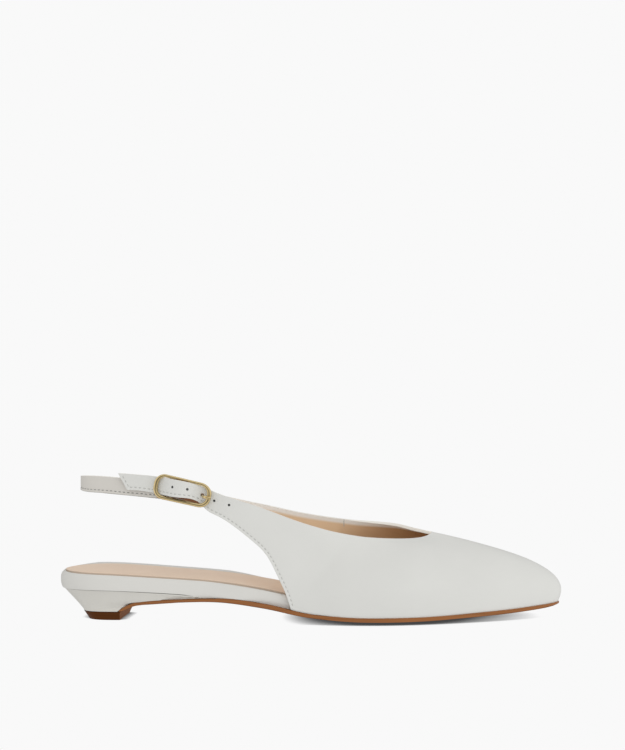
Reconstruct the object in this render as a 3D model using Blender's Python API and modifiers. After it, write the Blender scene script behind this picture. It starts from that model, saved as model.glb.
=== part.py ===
"""Slingback court shoe for the right foot.

Toe along +X, lateral side along -Y, +Z up, standing on z = 0. The tables are in millimetres and every
mesh is written in metres. Curved pieces are lofts through sections worked out from the tables.
"""
import math

import bmesh
import bpy
import numpy as np

MM = 0.001

# Driving sizes
WALL = 1.6            # upper leather with its lining
SLING_WALL = 1.0      # sling strap, folded leather
SLING_WIDTH = 8.8
GAP = 0.3             # clearance where curved pieces meet
SOLE_MARGIN = 0.5     # outsole edge outside the feather line
FOOTBED_TUCK = 2.6    # footbed edge inside the upper
INSOLE_RIM = 1.2      # footbed edge left showing round the insole
INSOLE_EDGE = 0.7     # thickness of the insole at its edge
LIFT_HEIGHT = 4.0     # top lift
CROWN_HALF = 10.0     # half width at which the outsole's underside reaches its full crown
BREAST_TURN = 0.07    # slope of the breast line, its medial end further forward
BREAST_FULL = -96.4   # the breast line has its full slope behind this
BREAST_NONE = -62.0   # and none ahead of this
# Holes of the strap: x, share of the way up across it, radius
HOLES = (
    (-71.8, 0.50, 0.9),
    (-64.0, 0.52, 0.9),
    (-56.1, 0.52, 1.25),
    (-50.0, 0.60, 0.9),
    (-42.4, 0.67, 0.9),
)
MERGE = 0.01          # points closer than this are one
SHARP_EDGE = 40.0     # degrees between faces that read as an edge

# Colours, linear
WHITE = (0.68, 0.68, 0.65)
HEEL_WHITE = (0.58, 0.56, 0.52)
SOLE_TAN = (0.36, 0.13, 0.045)
LIFT_BROWN = (0.13, 0.045, 0.018)
SOCK_BEIGE = (0.64, 0.49, 0.36)
PALE_GOLD = (0.66, 0.55, 0.33)

# Counts of sections and of points across
LONG_STEPS = 40
ACROSS = 9
UPPER_STEPS = 3
WALL_STEPS = 12
HEEL_STEPS = 29       # an odd count of steps, for an even count of points round the heel
HEEL_LEVELS = 8
SLING_STEPS = 45
FOLD_STEPS = 6
HOLE_SIDES = 12

# Plan at the feather line, a row for each width: x, lateral y, medial y
PLAN_HEEL = (-132.6, 5.0)
PLAN_TIP = (129.4, 3.6)
PLAN = (
    (-127.6, -10.0, 19.2),
    (-117.0, -19.6, 26.8),
    (-102.0, -23.8, 28.1),
    (-80.0, -25.4, 25.3),
    (-55.0, -26.6, 21.7),
    (-30.0, -29.9, 22.9),
    (-11.0, -33.0, 26.0),
    (12.0, -36.5, 32.5),
    (35.0, -37.0, 37.0),
    (58.0, -33.2, 36.2),
    (80.0, -26.2, 31.7),
    (98.0, -18.8, 25.8),
    (112.0, -11.4, 18.9),
    (121.0, -5.6, 13.0),
    (126.6, -1.0, 8.3),
)

# Outsole along its top: x, top z, thickness, width against the plan, crown of the underside
SOLE = (
    (-99.45, 4.6, 1.0, 0.58, 0.0),
    (-95.9, 7.0, 1.4, 0.65, 0.0),
    (-91.2, 9.2, 1.7, 0.74, 0.0),
    (-84.0, 10.9, 1.8, 0.86, 0.1),
    (-74.0, 11.9, 1.8, 0.95, 0.3),
    (-62.0, 12.6, 1.9, 0.99, 0.6),
    (-47.0, 13.1, 2.3, 1.0, 0.9),
    (-36.0, 12.4, 2.7, 1.0, 1.2),
    (-24.0, 10.7, 2.7, 1.0, 1.5),
    (-15.0, 9.0, 2.6, 1.0, 1.8),
    (-8.0, 6.9, 2.3, 1.0, 2.0),
    (4.0, 5.3, 2.0, 1.0, 2.3),
    (17.0, 4.2, 2.0, 1.0, 2.6),
    (34.0, 3.9, 2.1, 1.0, 2.6),
    (60.0, 4.1, 2.0, 1.0, 2.3),
    (85.0, 5.2, 1.8, 1.0, 1.6),
    (105.0, 6.1, 1.6, 1.0, 1.0),
    (118.0, 6.9, 1.5, 1.0, 0.6),
    (125.0, 7.35, 1.2, 1.0, 0.3),
    (130.5, 7.8, 0.5, 1.0, 0.1),
)

# Footbed over the heel: x, lower edge z
SEAT = (
    (-133.0, 15.4),
    (-120.0, 16.0),
    (-107.0, 16.2),
    (-85.0, 15.6),
    (-62.0, 14.2),
    (-49.0, 12.9),
)

# Footbed top and the dome of the insole above its own edge: x, top z, dome
FOOTBED = (
    (-133.0, 23.9, 0.4),
    (-118.0, 24.0, 0.9),
    (-107.0, 23.9, 1.3),
    (-85.0, 22.9, 1.3),
    (-62.0, 21.6, 1.0),
    (-49.0, 20.6, 0.9),
    (-36.0, 18.9, 0.9),
    (-24.0, 17.0, 0.8),
    (-11.0, 14.2, 0.8),
    (4.0, 11.2, 0.8),
    (18.0, 9.0, 0.8),
    (36.0, 7.9, 0.8),
    (60.0, 7.9, 0.8),
    (85.0, 8.6, 0.6),
    (105.0, 9.6, 0.4),
    (131.0, 11.0, 0.2),
)
TUCK_FROM = -44.0     # the footbed starts to draw in under the upper
TUCK_TO = -18.0
ON_SOLE_FROM = -74.0  # ahead of this the footbed is kept clear of the outsole
DOME_END = 12.0       # length over which the insole's dome dies away at heel and toe
DOME_POWER = 0.6      # below 1 the dome is fuller towards its edges

# Heel: its front edge under the waist, and its base as a squared half oval
HEEL_FRONT = -52.0
HEEL_INSET = 1.6
HEEL_BASE_FRONT = -99.95
HEEL_BASE_LENGTH = 19.3
HEEL_BASE_HALF = 15.0
HEEL_BASE_CENTRE = 1.0
HEEL_BASE_POWER = 0.68
LIFT_FRONT = -98.65
LIFT_BASE_LENGTH = 17.7

# Upper: a row for each section line, from the tail of the holed strap round the toe to the medial end.
# Lower end x, y, z (or the feather line's x and side), upper end x, y, z, how far the line stands off its
# chord low, at the middle and high, its rise at the same three places, and the heading of that bulge.
STRAP_ROWS = (
    (-95.4, -19.0, 67.6, -100.2, -17.6, 76.1, 0.0, 0.0, 0.0, 0.0, 0.0, 0.0, 0.0),
    (-88.5, -21.1, 67.3, -87.7, -21.2, 75.4, 0.0, 0.0, 0.0, 0.0, 0.0, 0.0, 0.0),
    (-81.0, -23.5, 66.4, -79.6, -23.7, 74.5, 0.0, 0.0, 0.0, 0.0, 0.0, 0.0, 0.0),
    (-67.6, -31.7, 64.5, -65.6, -32.0, 72.3, 0.0, 0.0, 0.0, 0.0, 0.0, 0.0, 0.0),
    (-57.4, -29.3, 61.5, -55.2, -29.45, 69.1, 0.0, 0.0, 0.0, 0.0, 0.0, 0.0, 0.0),
    (-54.9, -28.8, 58.9, -52.3, -29.0, 68.2, 0.0, 0.0, 0.0, 0.0, 0.0, 0.0, 0.0),
    (-48.0, -30.4, 54.9, -42.6, -30.8, 64.6, 0.0, 0.0, 0.0, 0.0, 0.0, 0.0, 0.0),
    (-40.0, -31.8, 50.0, -32.0, -31.8, 61.4, 0.2, 0.4, 0.2, 0.0, 0.0, 0.0, 0.0),
    (-31.5, -33.0, 43.4, -20.0, -32.0, 57.2, 0.5, 0.8, 0.5, 0.0, 0.0, 0.0, 0.0),
    (-23.6, -33.9, 35.8, -9.0, -31.0, 53.0, 0.8, 1.2, 0.8, 0.0, 0.0, 0.0, 0.0),
    (-18.0, -34.4, 25.5, 2.0, -29.8, 49.4, 1.2, 1.9, 1.4, 0.0, 0.0, 0.0, 0.0),
    (-14.0, -34.2, 17.0, 11.0, -28.3, 46.9, 2.2, 3.4, 2.4, 0.0, 0.0, 0.0, 0.0),
)
FRONT_ROWS = (
    (-11.0, "lateral", 20.0, -26.0, 45.0, 5.5, 7.5, 4.5, 0.0, 0.5, 1.0, 0.0),
    (10.0, "lateral", 29.0, -23.3, 43.6, 8.0, 10.5, 5.5, 0.0, 1.5, 2.0, 2.0),
    (35.0, "lateral", 38.0, -19.6, 42.8, 9.5, 13.0, 7.0, 0.0, 3.0, 4.0, 8.0),
    (62.0, "lateral", 47.5, -13.8, 42.2, 10.5, 15.5, 8.5, 0.0, 2.5, 4.2, 30.0),
    (88.0, "lateral", 54.5, -8.0, 42.1, 12.4, 20.4, 10.6, -0.4, 1.0, 4.0, 55.0),
    (110.0, "lateral", 59.6, -2.9, 42.7, 16.4, 29.8, 12.9, -0.2, 0.6, 3.8, 72.0),
    (122.0, "lateral", 61.8, -0.4, 43.6, 18.2, 37.8, 12.4, -1.4, 1.0, 3.4, 78.0),
    (129.4, "lateral", 62.6, 1.5, 44.4, 19.8, 42.0, 11.8, -1.9, 1.2, 3.1, 90.0),
    (122.0, "medial", 61.6, 2.6, 44.5, 18.2, 37.8, 12.2, -1.4, 1.0, 3.2, 102.0),
    (110.0, "medial", 59.4, 3.9, 44.9, 16.4, 29.8, 12.5, -0.2, 0.6, 3.2, 108.0),
    (88.0, "medial", 53.5, 7.8, 46.0, 12.2, 19.4, 9.6, -0.4, 1.0, 3.2, 125.0),
    (62.0, "medial", 46.0, 13.0, 47.5, 10.0, 14.0, 7.5, 0.0, 2.0, 2.8, 150.0),
    (35.0, "medial", 37.0, 18.8, 48.2, 8.5, 11.0, 6.0, 0.0, 1.5, 2.0, 172.0),
    (10.0, "medial", 27.5, 22.6, 48.6, 7.0, 8.5, 4.5, 0.0, 0.8, 1.0, 178.0),
    (-11.0, "medial", 18.0, 25.4, 49.2, 5.0, 6.5, 3.5, 0.0, 0.3, 0.5, 180.0),
)
MEDIAL_ROWS = (
    (-14.0, 28.2, 17.0, 9.0, 27.4, 50.2, 2.5, 3.5, 2.5, 0.0, 0.0, 0.0, 180.0),
    (-18.0, 29.7, 25.5, -1.0, 29.2, 51.6, 1.5, 2.2, 1.6, 0.0, 0.0, 0.0, 180.0),
    (-23.6, 30.7, 34.8, -11.0, 30.4, 53.4, 1.0, 1.4, 1.0, 0.0, 0.0, 0.0, 180.0),
    (-31.5, 31.4, 42.0, -22.0, 31.2, 55.8, 0.6, 0.9, 0.6, 0.0, 0.0, 0.0, 180.0),
    (-40.0, 31.7, 48.0, -34.0, 31.8, 58.2, 0.2, 0.4, 0.2, 0.0, 0.0, 0.0, 180.0),
    (-49.2, 31.2, 52.3, -46.6, 31.2, 61.0, 0.0, 0.0, 0.0, 0.0, 0.0, 0.0, 180.0),
)

# Sling strap, middle of its outer face: x, y, z, from the medial quarter round the heel to the buckle
SLING = (
    (-48.4, 31.2, 56.7),
    (-62.0, 30.3, 60.4),
    (-80.0, 27.4, 63.9),
    (-97.0, 22.0, 66.2),
    (-110.0, 16.3, 67.9),
    (-119.0, 9.6, 69.3),
    (-121.9, 3.0, 70.0),
    (-119.3, -4.4, 70.1),
    (-111.0, -10.9, 70.0),
    (-104.5, -13.6, 69.7),
    (-97.0, -16.2, 69.1),
    (-88.0, -18.8, 68.5),
    (-80.6, -21.2, 68.1),
)

# Buckle: centre, direction along the strap, and sizes
BUCKLE_CENTRE = (-66.6, -28.2, 67.8)
BUCKLE_ALONG = (27.5, -5.3, -5.6)
BUCKLE_LENGTH = 30.0
BUCKLE_WIDTH = 13.0
BUCKLE_CORNER = 4.6
FRAME_RADIUS = 0.95
BAR_RADIUS = 0.8
BAR_DEPTH = -0.8      # centre bar below the frame's plane
BAR_BEND = 1.3        # length at each end of the bar that slants up to the frame
FOLD_LENGTH = 4.0     # sling strap turned back over the centre bar
PRONG_RADIUS = 0.55
PRONG_ACROSS = -0.47  # the prong sits on the strap's own middle line
# Sling strap before the centre bar: along the strap, across it, drop below its lie under the bar
SLING_APPROACH = (
    (-7.0, -0.7, 0.5),
    (-2.5, -0.1, 0.0),
)
# Turned end of the sling strap: share of its length, drop below its lie over the bar
FOLD_RETURN = (
    (0.5, 0.3),
    (1.0, 1.1),
)
# Prong: along the strap, out from the frame's plane
PRONG = (
    (2.7, -1.0),
    (5.5, -1.8),
    (8.6, -2.9),
    (9.6, -2.8),
    (10.3, -2.0),
    (10.9, -0.9),
    (11.8, 0.8),
    (13.4, 1.9),
    (15.2, 1.8),
)

COLLECTION_NAME = "slingback_court_shoe"
CUTTERS_NAME = "cutters"


def spline(knots, rows, at):
    """Natural cubic spline through rows at increasing knots, read at the places asked for."""
    knots = np.asarray(knots, float)
    rows = np.asarray(rows, float).reshape(len(knots), -1)
    step = np.diff(knots)[:, None]
    slope = np.diff(rows, axis=0) / step
    count = len(knots)
    system = np.eye(count)
    right = np.zeros(rows.shape)
    for i in range(1, count - 1):
        system[i, i - 1:i + 2] = step[i - 1, 0], 2 * (step[i - 1, 0] + step[i, 0]), step[i, 0]
        right[i] = 6 * (slope[i] - slope[i - 1])
    bend = np.linalg.solve(system, right)
    at = np.atleast_1d(np.asarray(at, float))
    span = np.clip(np.searchsorted(knots, at) - 1, 0, count - 2)
    along = (at - knots[span])[:, None]
    left = step[span]
    start = slope[span] - left * (2 * bend[span] + bend[span + 1]) / 6
    cubic = (bend[span + 1] - bend[span]) / (6 * left)
    return rows[span] + along * (start + along * (bend[span] / 2 + along * cubic))


def chord_knots(points):
    """Running length along a row of points, as spline knots."""
    steps = np.linalg.norm(np.diff(np.asarray(points, float), axis=0), axis=1)
    return np.concatenate(([0.0], np.cumsum(steps)))


def column(table, index, at):
    """One column of a table as a smooth curve over its first column."""
    table = np.asarray(table, float)
    return spline(table[:, 0], table[:, index], at)[:, 0]


def closed_plan(per_span=24):
    """The plan at the feather line as a dense closed run: heel, lateral side, tip, medial side."""
    lateral = [(x, y) for x, y, _ in PLAN]
    medial = [(x, y) for x, _, y in reversed(PLAN)]
    loop = np.array([PLAN_HEEL] + lateral + [PLAN_TIP] + medial)
    count = len(loop)
    three_turns = np.vstack((loop, loop, loop, loop[:1]))
    knots = chord_knots(three_turns)
    at = np.interp(np.arange(count * per_span) / per_span + count, np.arange(len(knots)), knots)
    return spline(knots, three_turns, at)


PLAN_RUN = closed_plan()


def plan_halves(inset):
    """Lateral and medial halves of the plan, heel to toe, moved in by inset(x)."""
    ahead = np.roll(PLAN_RUN, -1, axis=0) - np.roll(PLAN_RUN, 1, axis=0)
    ahead /= np.linalg.norm(ahead, axis=1)[:, None]
    inward = np.stack((-ahead[:, 1], ahead[:, 0]), axis=1)
    run = PLAN_RUN + inward * inset(PLAN_RUN[:, 0])[:, None]
    run = np.roll(run, -int(np.argmin(run[:, 0])), axis=0)
    tip = int(np.argmax(run[:, 0]))
    lateral = run[:tip + 1]
    medial = np.vstack((run[tip:], run[:1]))[::-1]
    return lateral, medial


def plan_sides(halves, x):
    """Lateral and medial y of a plan at each x."""
    lateral, medial = halves
    return np.interp(x, lateral[:, 0], lateral[:, 1]), np.interp(x, medial[:, 0], medial[:, 1])


def constant(value):
    """An inset that is the same all round."""
    return lambda x: np.full(np.shape(x), value)


def narrowed(lateral, medial, width):
    """Middle and half width of the plan where the outsole is narrower, drawn to the heel's middle."""
    width = np.minimum(width, 1)
    middle = (lateral + medial) / 2
    drawn = (1 - width) / (1 - SOLE[0][3])
    return middle + (HEEL_BASE_CENTRE - middle) * drawn, (medial - lateral) / 2 * width


def footbed_inset(x):
    """The footbed runs out to the plan at the seat and draws in under the upper."""
    part = np.clip((x - TUCK_FROM) / (TUCK_TO - TUCK_FROM), 0, 1)
    return FOOTBED_TUCK * part * part * (3 - 2 * part)


def stations(start, end, count):
    """Places from start to end, closer together at both ends."""
    return start + (end - start) * (1 - np.cos(np.pi * np.arange(count + 1) / count)) / 2


def sole_top(x):
    """Height of the outsole's top."""
    return column(SOLE, 1, x)


def footbed_bottom(x):
    """Height of the footbed's underside: over the heel, then on the outsole."""
    seat_end = SEAT[-1][0]
    seat = np.where(x < seat_end, column(SEAT, 1, np.minimum(x, seat_end)), 0.0)
    on_sole = np.where(x > ON_SOLE_FROM, sole_top(np.maximum(x, ON_SOLE_FROM)) + GAP, 0.0)
    return np.maximum(seat, on_sole)


def turn(points):
    """Turn the breast line: points further to the medial side move forward, fading out along the waist."""
    fade = np.clip((BREAST_NONE - points[..., 0]) / (BREAST_NONE - BREAST_FULL), 0, 1)
    moved = points.copy()
    moved[..., 0] += BREAST_TURN * (points[..., 1] - HEEL_BASE_CENTRE) * fade
    return moved


def material(name, colour, roughness, metallic=0.0):
    """A plain finish."""
    made = bpy.data.materials.new(name)
    made.use_nodes = True
    shader = made.node_tree.nodes["Principled BSDF"]
    shader.inputs["Base Color"].default_value = (*colour, 1.0)
    shader.inputs["Roughness"].default_value = roughness
    shader.inputs["Metallic"].default_value = metallic
    return made


def add_object(name, bm, finish, collection):
    """Merge doubled points, face the mesh outwards and put it in a collection."""
    bmesh.ops.remove_doubles(bm, verts=bm.verts, dist=MERGE * MM)
    bmesh.ops.recalc_face_normals(bm, faces=bm.faces)
    mesh = bpy.data.meshes.new(name)
    bm.to_mesh(mesh)
    bm.free()
    mesh.materials.append(finish)
    mesh.shade_smooth()
    mesh.set_sharp_from_angle(angle=math.radians(SHARP_EDGE))
    made = bpy.data.objects.new(name, mesh)
    collection.objects.link(made)
    return made


def loft(name, rings, finish, collection):
    """Closed body through rings of points; point i of an end ring is capped to point -1 - i."""
    bm = bmesh.new()
    rows = [[bm.verts.new(point * MM) for point in ring] for ring in rings]
    size = len(rows[0])
    for before, after in zip(rows, rows[1:]):
        for i in range(size):
            j = (i + 1) % size
            bm.faces.new((before[i], before[j], after[j], after[i]))
    for ring in (rows[0], rows[-1]):
        for i in range(size // 2 - 1):
            bm.faces.new((ring[i], ring[i + 1], ring[size - 2 - i], ring[size - 1 - i]))
    return add_object(name, bm, finish, collection)


def sheet(name, grid, thickness, finish, collection):
    """Wall of one thickness behind a grid of points on its outer face."""
    bm = bmesh.new()
    rows = [[bm.verts.new(point * MM) for point in row] for row in grid]
    for before, after in zip(rows, rows[1:]):
        for i in range(len(before) - 1):
            bm.faces.new((before[i], after[i], after[i + 1], before[i + 1]))
    mesh = bpy.data.meshes.new(name)
    bm.to_mesh(mesh)
    bm.free()
    mesh.materials.append(finish)
    mesh.shade_smooth()
    made = bpy.data.objects.new(name, mesh)
    collection.objects.link(made)
    wall = made.modifiers.new("wall", "SOLIDIFY")
    wall.thickness = thickness * MM
    wall.offset = -1.0
    wall.use_even_offset = True
    return made


def make_outsole(finish, collection):
    """Thin sole, flat across its top and crowned below, running down the heel breast."""
    halves = plan_halves(constant(-SOLE_MARGIN))
    tip = halves[0][-1, 0]
    top_x = stations(SOLE[0][0], tip, LONG_STEPS)
    lateral, medial = plan_sides(halves, top_x)
    top_z = sole_top(top_x)
    thickness = column(SOLE, 2, top_x)
    width = column(SOLE, 3, top_x)
    slope = np.gradient(top_z, top_x)
    tilt = np.sqrt(1 + slope * slope)
    centre, half = narrowed(lateral, medial, width)
    crown = np.maximum(column(SOLE, 4, top_x), 0) * np.minimum(half / CROWN_HALF, 1)
    across = stations(-1.0, 1.0, ACROSS - 1)
    rings = []
    for i in range(len(top_x)):
        y = centre[i] + half[i] * across
        top = np.stack((np.full(ACROSS, top_x[i]), y, np.full(ACROSS, top_z[i])), axis=1)
        under = top.copy()
        under[:, 0] += thickness[i] * slope[i] / tilt[i]
        under[:, 2] -= thickness[i] / tilt[i] + crown[i] * (1 - across ** 2)
        under[:, 2] = np.maximum(under[:, 2], 0 if top_x[i] > HEEL_FRONT else LIFT_HEIGHT + GAP)
        under[:, 0] = np.minimum(under[:, 0], tip)
        rings.append(turn(np.vstack((top, under[::-1]))))
    return loft("outsole", rings, finish, collection)


def make_footbed(finish, collection):
    """Covered board, its edge drawn in a little below and tucked in under the upper."""
    halves = plan_halves(footbed_inset)
    x = stations(halves[0][0, 0], halves[0][-1, 0], LONG_STEPS)
    lateral, medial = plan_sides(halves, x)
    low, high = footbed_bottom(x), column(FOOTBED, 1, x)
    across = stations(0.0, 1.0, ACROSS - 1)
    rings = []
    for i in range(len(x)):
        y = lateral[i] + (medial[i] - lateral[i]) * across
        top = np.stack((np.full(ACROSS, x[i]), y, np.full(ACROSS, high[i])), axis=1)
        under = top.copy()
        under[:, 2] = low[i]
        rings.append(np.vstack((top, under[::-1])))
    return loft("footbed", rings, finish, collection)


def make_insole(finish, collection):
    """Padded sock on the footbed, domed over the seat."""
    halves = plan_halves(lambda x: footbed_inset(x) + INSOLE_RIM)
    x = stations(halves[0][0, 0], halves[0][-1, 0], LONG_STEPS)
    lateral, medial = plan_sides(halves, x)
    low, dome = column(FOOTBED, 1, x) + GAP, column(FOOTBED, 2, x)
    across = stations(0.0, 1.0, ACROSS - 1)
    from_end = np.minimum(x - x[0], x[-1] - x)
    end_fall = np.sqrt(np.clip(from_end / DOME_END, 0, 1))
    rings = []
    for i in range(len(x)):
        y = lateral[i] + (medial[i] - lateral[i]) * across
        rise = INSOLE_EDGE + dome[i] * end_fall[i] * (1 - (2 * across - 1) ** 2) ** DOME_POWER
        top = np.stack((np.full(ACROSS, x[i]), y, low[i] + rise), axis=1)
        under = top.copy()
        under[:, 2] = low[i]
        rings.append(np.vstack((top, under[::-1])))
    return loft("insole", rings, finish, collection)


def base_outline(front, length, count):
    """Squared half oval of the heel's base, lateral front corner to the back to the medial front corner."""
    angle = np.pi * np.arange(count + 1) / count
    side = np.sign(np.cos(angle)) * np.abs(np.cos(angle)) ** HEEL_BASE_POWER
    back = np.abs(np.sin(angle)) ** HEEL_BASE_POWER
    y = HEEL_BASE_CENTRE - HEEL_BASE_HALF * side
    x = front - length * back + BREAST_TURN * (y - HEEL_BASE_CENTRE)
    return np.stack((x, y), axis=1)


def breast_edge(x, side):
    """Where the heel meets the outsole, on one side, clear of it by the gap."""
    lateral, medial = plan_sides(plan_halves(constant(HEEL_INSET)), x)
    centre, half = narrowed(lateral, medial, column(SOLE, 3, x))
    y = centre + side * half
    slope = np.gradient(sole_top(x), x)
    clear = GAP * np.sqrt(1 + slope * slope)
    return turn(np.stack((x, y, sole_top(x) + clear), axis=1))


def make_heel(finish, collection):
    """Covered heel: ruled from the seat's plan to its base, its front edge following the breast."""
    halves = plan_halves(constant(HEEL_INSET))
    lateral, medial = halves
    run = np.vstack((lateral[lateral[:, 0] < HEEL_FRONT][::-1], medial[medial[:, 0] < HEEL_FRONT][1:]))
    along = chord_knots(run)
    share = np.arange(HEEL_STEPS + 1) / HEEL_STEPS
    seat_plan = spline(along, run, along[-1] * share)
    seat = np.column_stack((seat_plan, footbed_bottom(seat_plan[:, 0]) - GAP))
    base_plan = base_outline(HEEL_BASE_FRONT, HEEL_BASE_LENGTH, HEEL_STEPS)
    base = np.column_stack((base_plan, np.full(HEEL_STEPS + 1, LIFT_HEIGHT + GAP)))
    level = stations(0.0, 1.0, HEEL_LEVELS)
    edge_x = HEEL_FRONT + (SOLE[0][0] - HEEL_FRONT) * level
    edges = [breast_edge(edge_x, side) for side in (-1, 1)]
    near_front = [np.clip(1 - 2 * share, 0, 1) ** 2, np.clip(2 * share - 1, 0, 1) ** 2]
    corners = ((seat[0], base[0]), (seat[-1], base[-1]))
    rings = []
    for k, down in enumerate(level):
        ring = (1 - down) * seat + down * base
        for edge, pull, (top, bottom) in zip(edges, near_front, corners):
            if 0 < k < HEEL_LEVELS:
                off_line = edge[k] - ((1 - down) * top + down * bottom)
                ring = ring + pull[:, None] * off_line
        rings.append(ring)
    return loft("heel", rings, finish, collection)


def make_top_lift(finish, collection):
    """Wearing piece under the heel, its back sloping on with the heel."""
    top_length = HEEL_BASE_LENGTH + LIFT_FRONT - HEEL_BASE_FRONT
    top = base_outline(LIFT_FRONT, top_length, HEEL_STEPS)
    bottom = base_outline(LIFT_FRONT, LIFT_BASE_LENGTH, HEEL_STEPS)
    rings = [
        np.column_stack((top, np.full(len(top), LIFT_HEIGHT))),
        np.column_stack((bottom, np.zeros(len(bottom)))),
    ]
    return loft("top_lift", rings, finish, collection)


def feather_lengths(rows):
    """Where each front row starts, as a length along the plan from its heel point."""
    lengths = chord_knots(np.vstack((PLAN_RUN, PLAN_RUN[:1])))
    tip = int(np.argmax(PLAN_RUN[:, 0]))
    found = []
    for x, side, *_ in rows:
        span = slice(0, tip + 1) if side == "lateral" else slice(tip, len(PLAN_RUN))
        places, values = PLAN_RUN[span, 0], lengths[:-1][span]
        if side == "medial":
            places, values = places[::-1], values[::-1]
        found.append(np.interp(x, places, values))
    return lengths, np.array(found)


def upper_lines():
    """Lower ends, upper ends and bulges of the upper's section lines, several between each two rows."""
    lengths, front = feather_lengths(FRONT_ROWS)
    closed = np.vstack((PLAN_RUN, PLAN_RUN[:1]))

    def on_feather(at):
        plan = np.stack([np.interp(at, lengths, closed[:, i]) for i in (0, 1)], axis=1)
        return np.column_stack((plan, sole_top(plan[:, 0]) + GAP))

    feather = on_feather(front)
    strap, medial = np.array(STRAP_ROWS), np.array(MEDIAL_ROWS)
    shape = np.vstack((strap[:, 3:], np.array([row[2:] for row in FRONT_ROWS]), medial[:, 3:]))
    lower = np.vstack((strap[:, :3], feather, medial[:, :3]))
    knots = chord_knots((lower + shape[:, :3]) / 2)
    first, last = len(strap), len(strap) + len(front) - 1
    places = np.arange((len(knots) - 1) * UPPER_STEPS + 1) / UPPER_STEPS
    fine = np.interp(places, np.arange(len(knots)), knots)
    low = np.empty((len(fine), 3))
    behind, ahead = fine <= knots[first], fine >= knots[last]
    between = ~(behind | ahead)
    low[behind] = spline(knots[:first + 1], lower[:first + 1], fine[behind])
    low[ahead] = spline(knots[last:], lower[last:], fine[ahead])
    low[between] = on_feather(spline(knots[first:last + 1], front, fine[between])[:, 0])
    return low, spline(knots, shape, fine)


def upper_surface():
    """Outer face of the upper: each section line is a quartic curve standing off its chord."""
    low, shape = upper_lines()
    high = shape[:, :3]
    heading = np.radians(shape[:, 9])
    out = np.stack((np.sin(heading), -np.cos(heading), np.zeros(len(heading))), axis=1)
    up = np.array((0.0, 0.0, 1.0))
    control = [low]
    for place, share in enumerate((0.25, 0.5, 0.75)):
        stand, rise = shape[:, 3 + place, None], shape[:, 6 + place, None]
        control.append(low + (high - low) * share + out * stand + up * rise)
    control.append(high)
    part = np.arange(WALL_STEPS + 1) / WALL_STEPS
    weights = [math.comb(4, k) * part ** k * (1 - part) ** (4 - k) for k in range(5)]
    return sum(w[None, :, None] * c[:, None, :] for w, c in zip(weights, control))


def hole_cutter(grid, cutters):
    """Round punches through the holed strap, in one cutter."""
    bm = bmesh.new()
    for x, share, radius in HOLES:
        middle = grid[:len(STRAP_ROWS) * UPPER_STEPS, round(share * WALL_STEPS)]
        i = int(np.argmin(np.abs(middle[:, 0] - x)))
        along = middle[i + 1] - middle[i - 1]
        centre = middle[i] + along * (x - middle[i, 0]) / along[0]
        out = np.array((along[1], -along[0], 0.0)) / math.hypot(along[0], along[1])
        punch = bmesh.ops.create_cone(bm, cap_ends=True, segments=HOLE_SIDES, radius1=radius * MM,
                                      radius2=radius * MM, depth=3 * WALL * MM)["verts"]
        heading = math.atan2(out[1], out[0])
        for vert in punch:
            depth, side, rise = vert.co.z, vert.co.x, vert.co.y
            vert.co.x = centre[0] * MM + depth * math.cos(heading) - side * math.sin(heading)
            vert.co.y = centre[1] * MM + depth * math.sin(heading) + side * math.cos(heading)
            vert.co.z = centre[2] * MM + rise
    bmesh.ops.recalc_face_normals(bm, faces=bm.faces)
    mesh = bpy.data.meshes.new("strap_holes")
    bm.to_mesh(mesh)
    bm.free()
    cutter = bpy.data.objects.new("strap_holes", mesh)
    cutters.objects.link(cutter)
    cutter.hide_render = True
    cutter.display_type = "WIRE"
    return cutter


def make_upper(finish, collection, cutters):
    """Hollow upper, one wall from the holed strap round the toe to the medial quarter."""
    grid = upper_surface()
    made = sheet("upper", grid, WALL, finish, collection)
    holes = made.modifiers.new("holes", "BOOLEAN")
    holes.operation = "DIFFERENCE"
    holes.solver = "EXACT"
    holes.object = hole_cutter(grid, cutters)
    return made


def buckle_axes():
    """Directions along the strap, across it and out of it at the buckle."""
    along = np.array(BUCKLE_ALONG) / np.linalg.norm(BUCKLE_ALONG)
    across = np.array((0.0, 0.0, 1.0)) - along * along[2]
    across /= np.linalg.norm(across)
    return along, across, np.cross(along, across)


def at_buckle(along, across, out):
    """A point in the buckle's own directions, in the shoe's frame."""
    axes = buckle_axes()
    return np.array(BUCKLE_CENTRE) + along * axes[0] + across * axes[1] + out * axes[2]


def make_sling_strap(finish, collection):
    """Strap from the medial quarter round the heel, turned back over the buckle's centre bar."""
    clear = BAR_RADIUS + GAP
    under_bar = BAR_DEPTH - clear
    tail = [at_buckle(along, aside, under_bar - drop) for along, aside, drop in SLING_APPROACH]
    route = np.vstack((SLING, tail))
    knots = chord_knots(route)
    strap = spline(knots, route, np.linspace(0, knots[-1], SLING_STEPS + 1))
    angles = np.linspace(-math.pi / 2, math.pi / 2, FOLD_STEPS + 1)
    fold = [at_buckle(clear * math.cos(a), 0, BAR_DEPTH + clear * math.sin(a)) for a in angles]
    over_bar = BAR_DEPTH + clear
    fold += [at_buckle(-FOLD_LENGTH * share, 0, over_bar - drop) for share, drop in FOLD_RETURN]
    ahead = np.gradient(strap, axis=0)
    ahead /= np.linalg.norm(ahead, axis=1)[:, None]
    across = np.array((0.0, 0.0, 1.0)) - ahead * ahead[:, 2:3]
    across = np.vstack((across, np.tile(buckle_axes()[1], (len(fold), 1))))
    across /= np.linalg.norm(across, axis=1)[:, None]
    middle = np.vstack((strap, fold))
    shares = np.array((-0.5, 0.0, 0.5)) * SLING_WIDTH
    grid = middle[:, None, :] + shares[None, :, None] * across[:, None, :]
    return sheet("sling_strap", grid, SLING_WALL, finish, collection)


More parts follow.
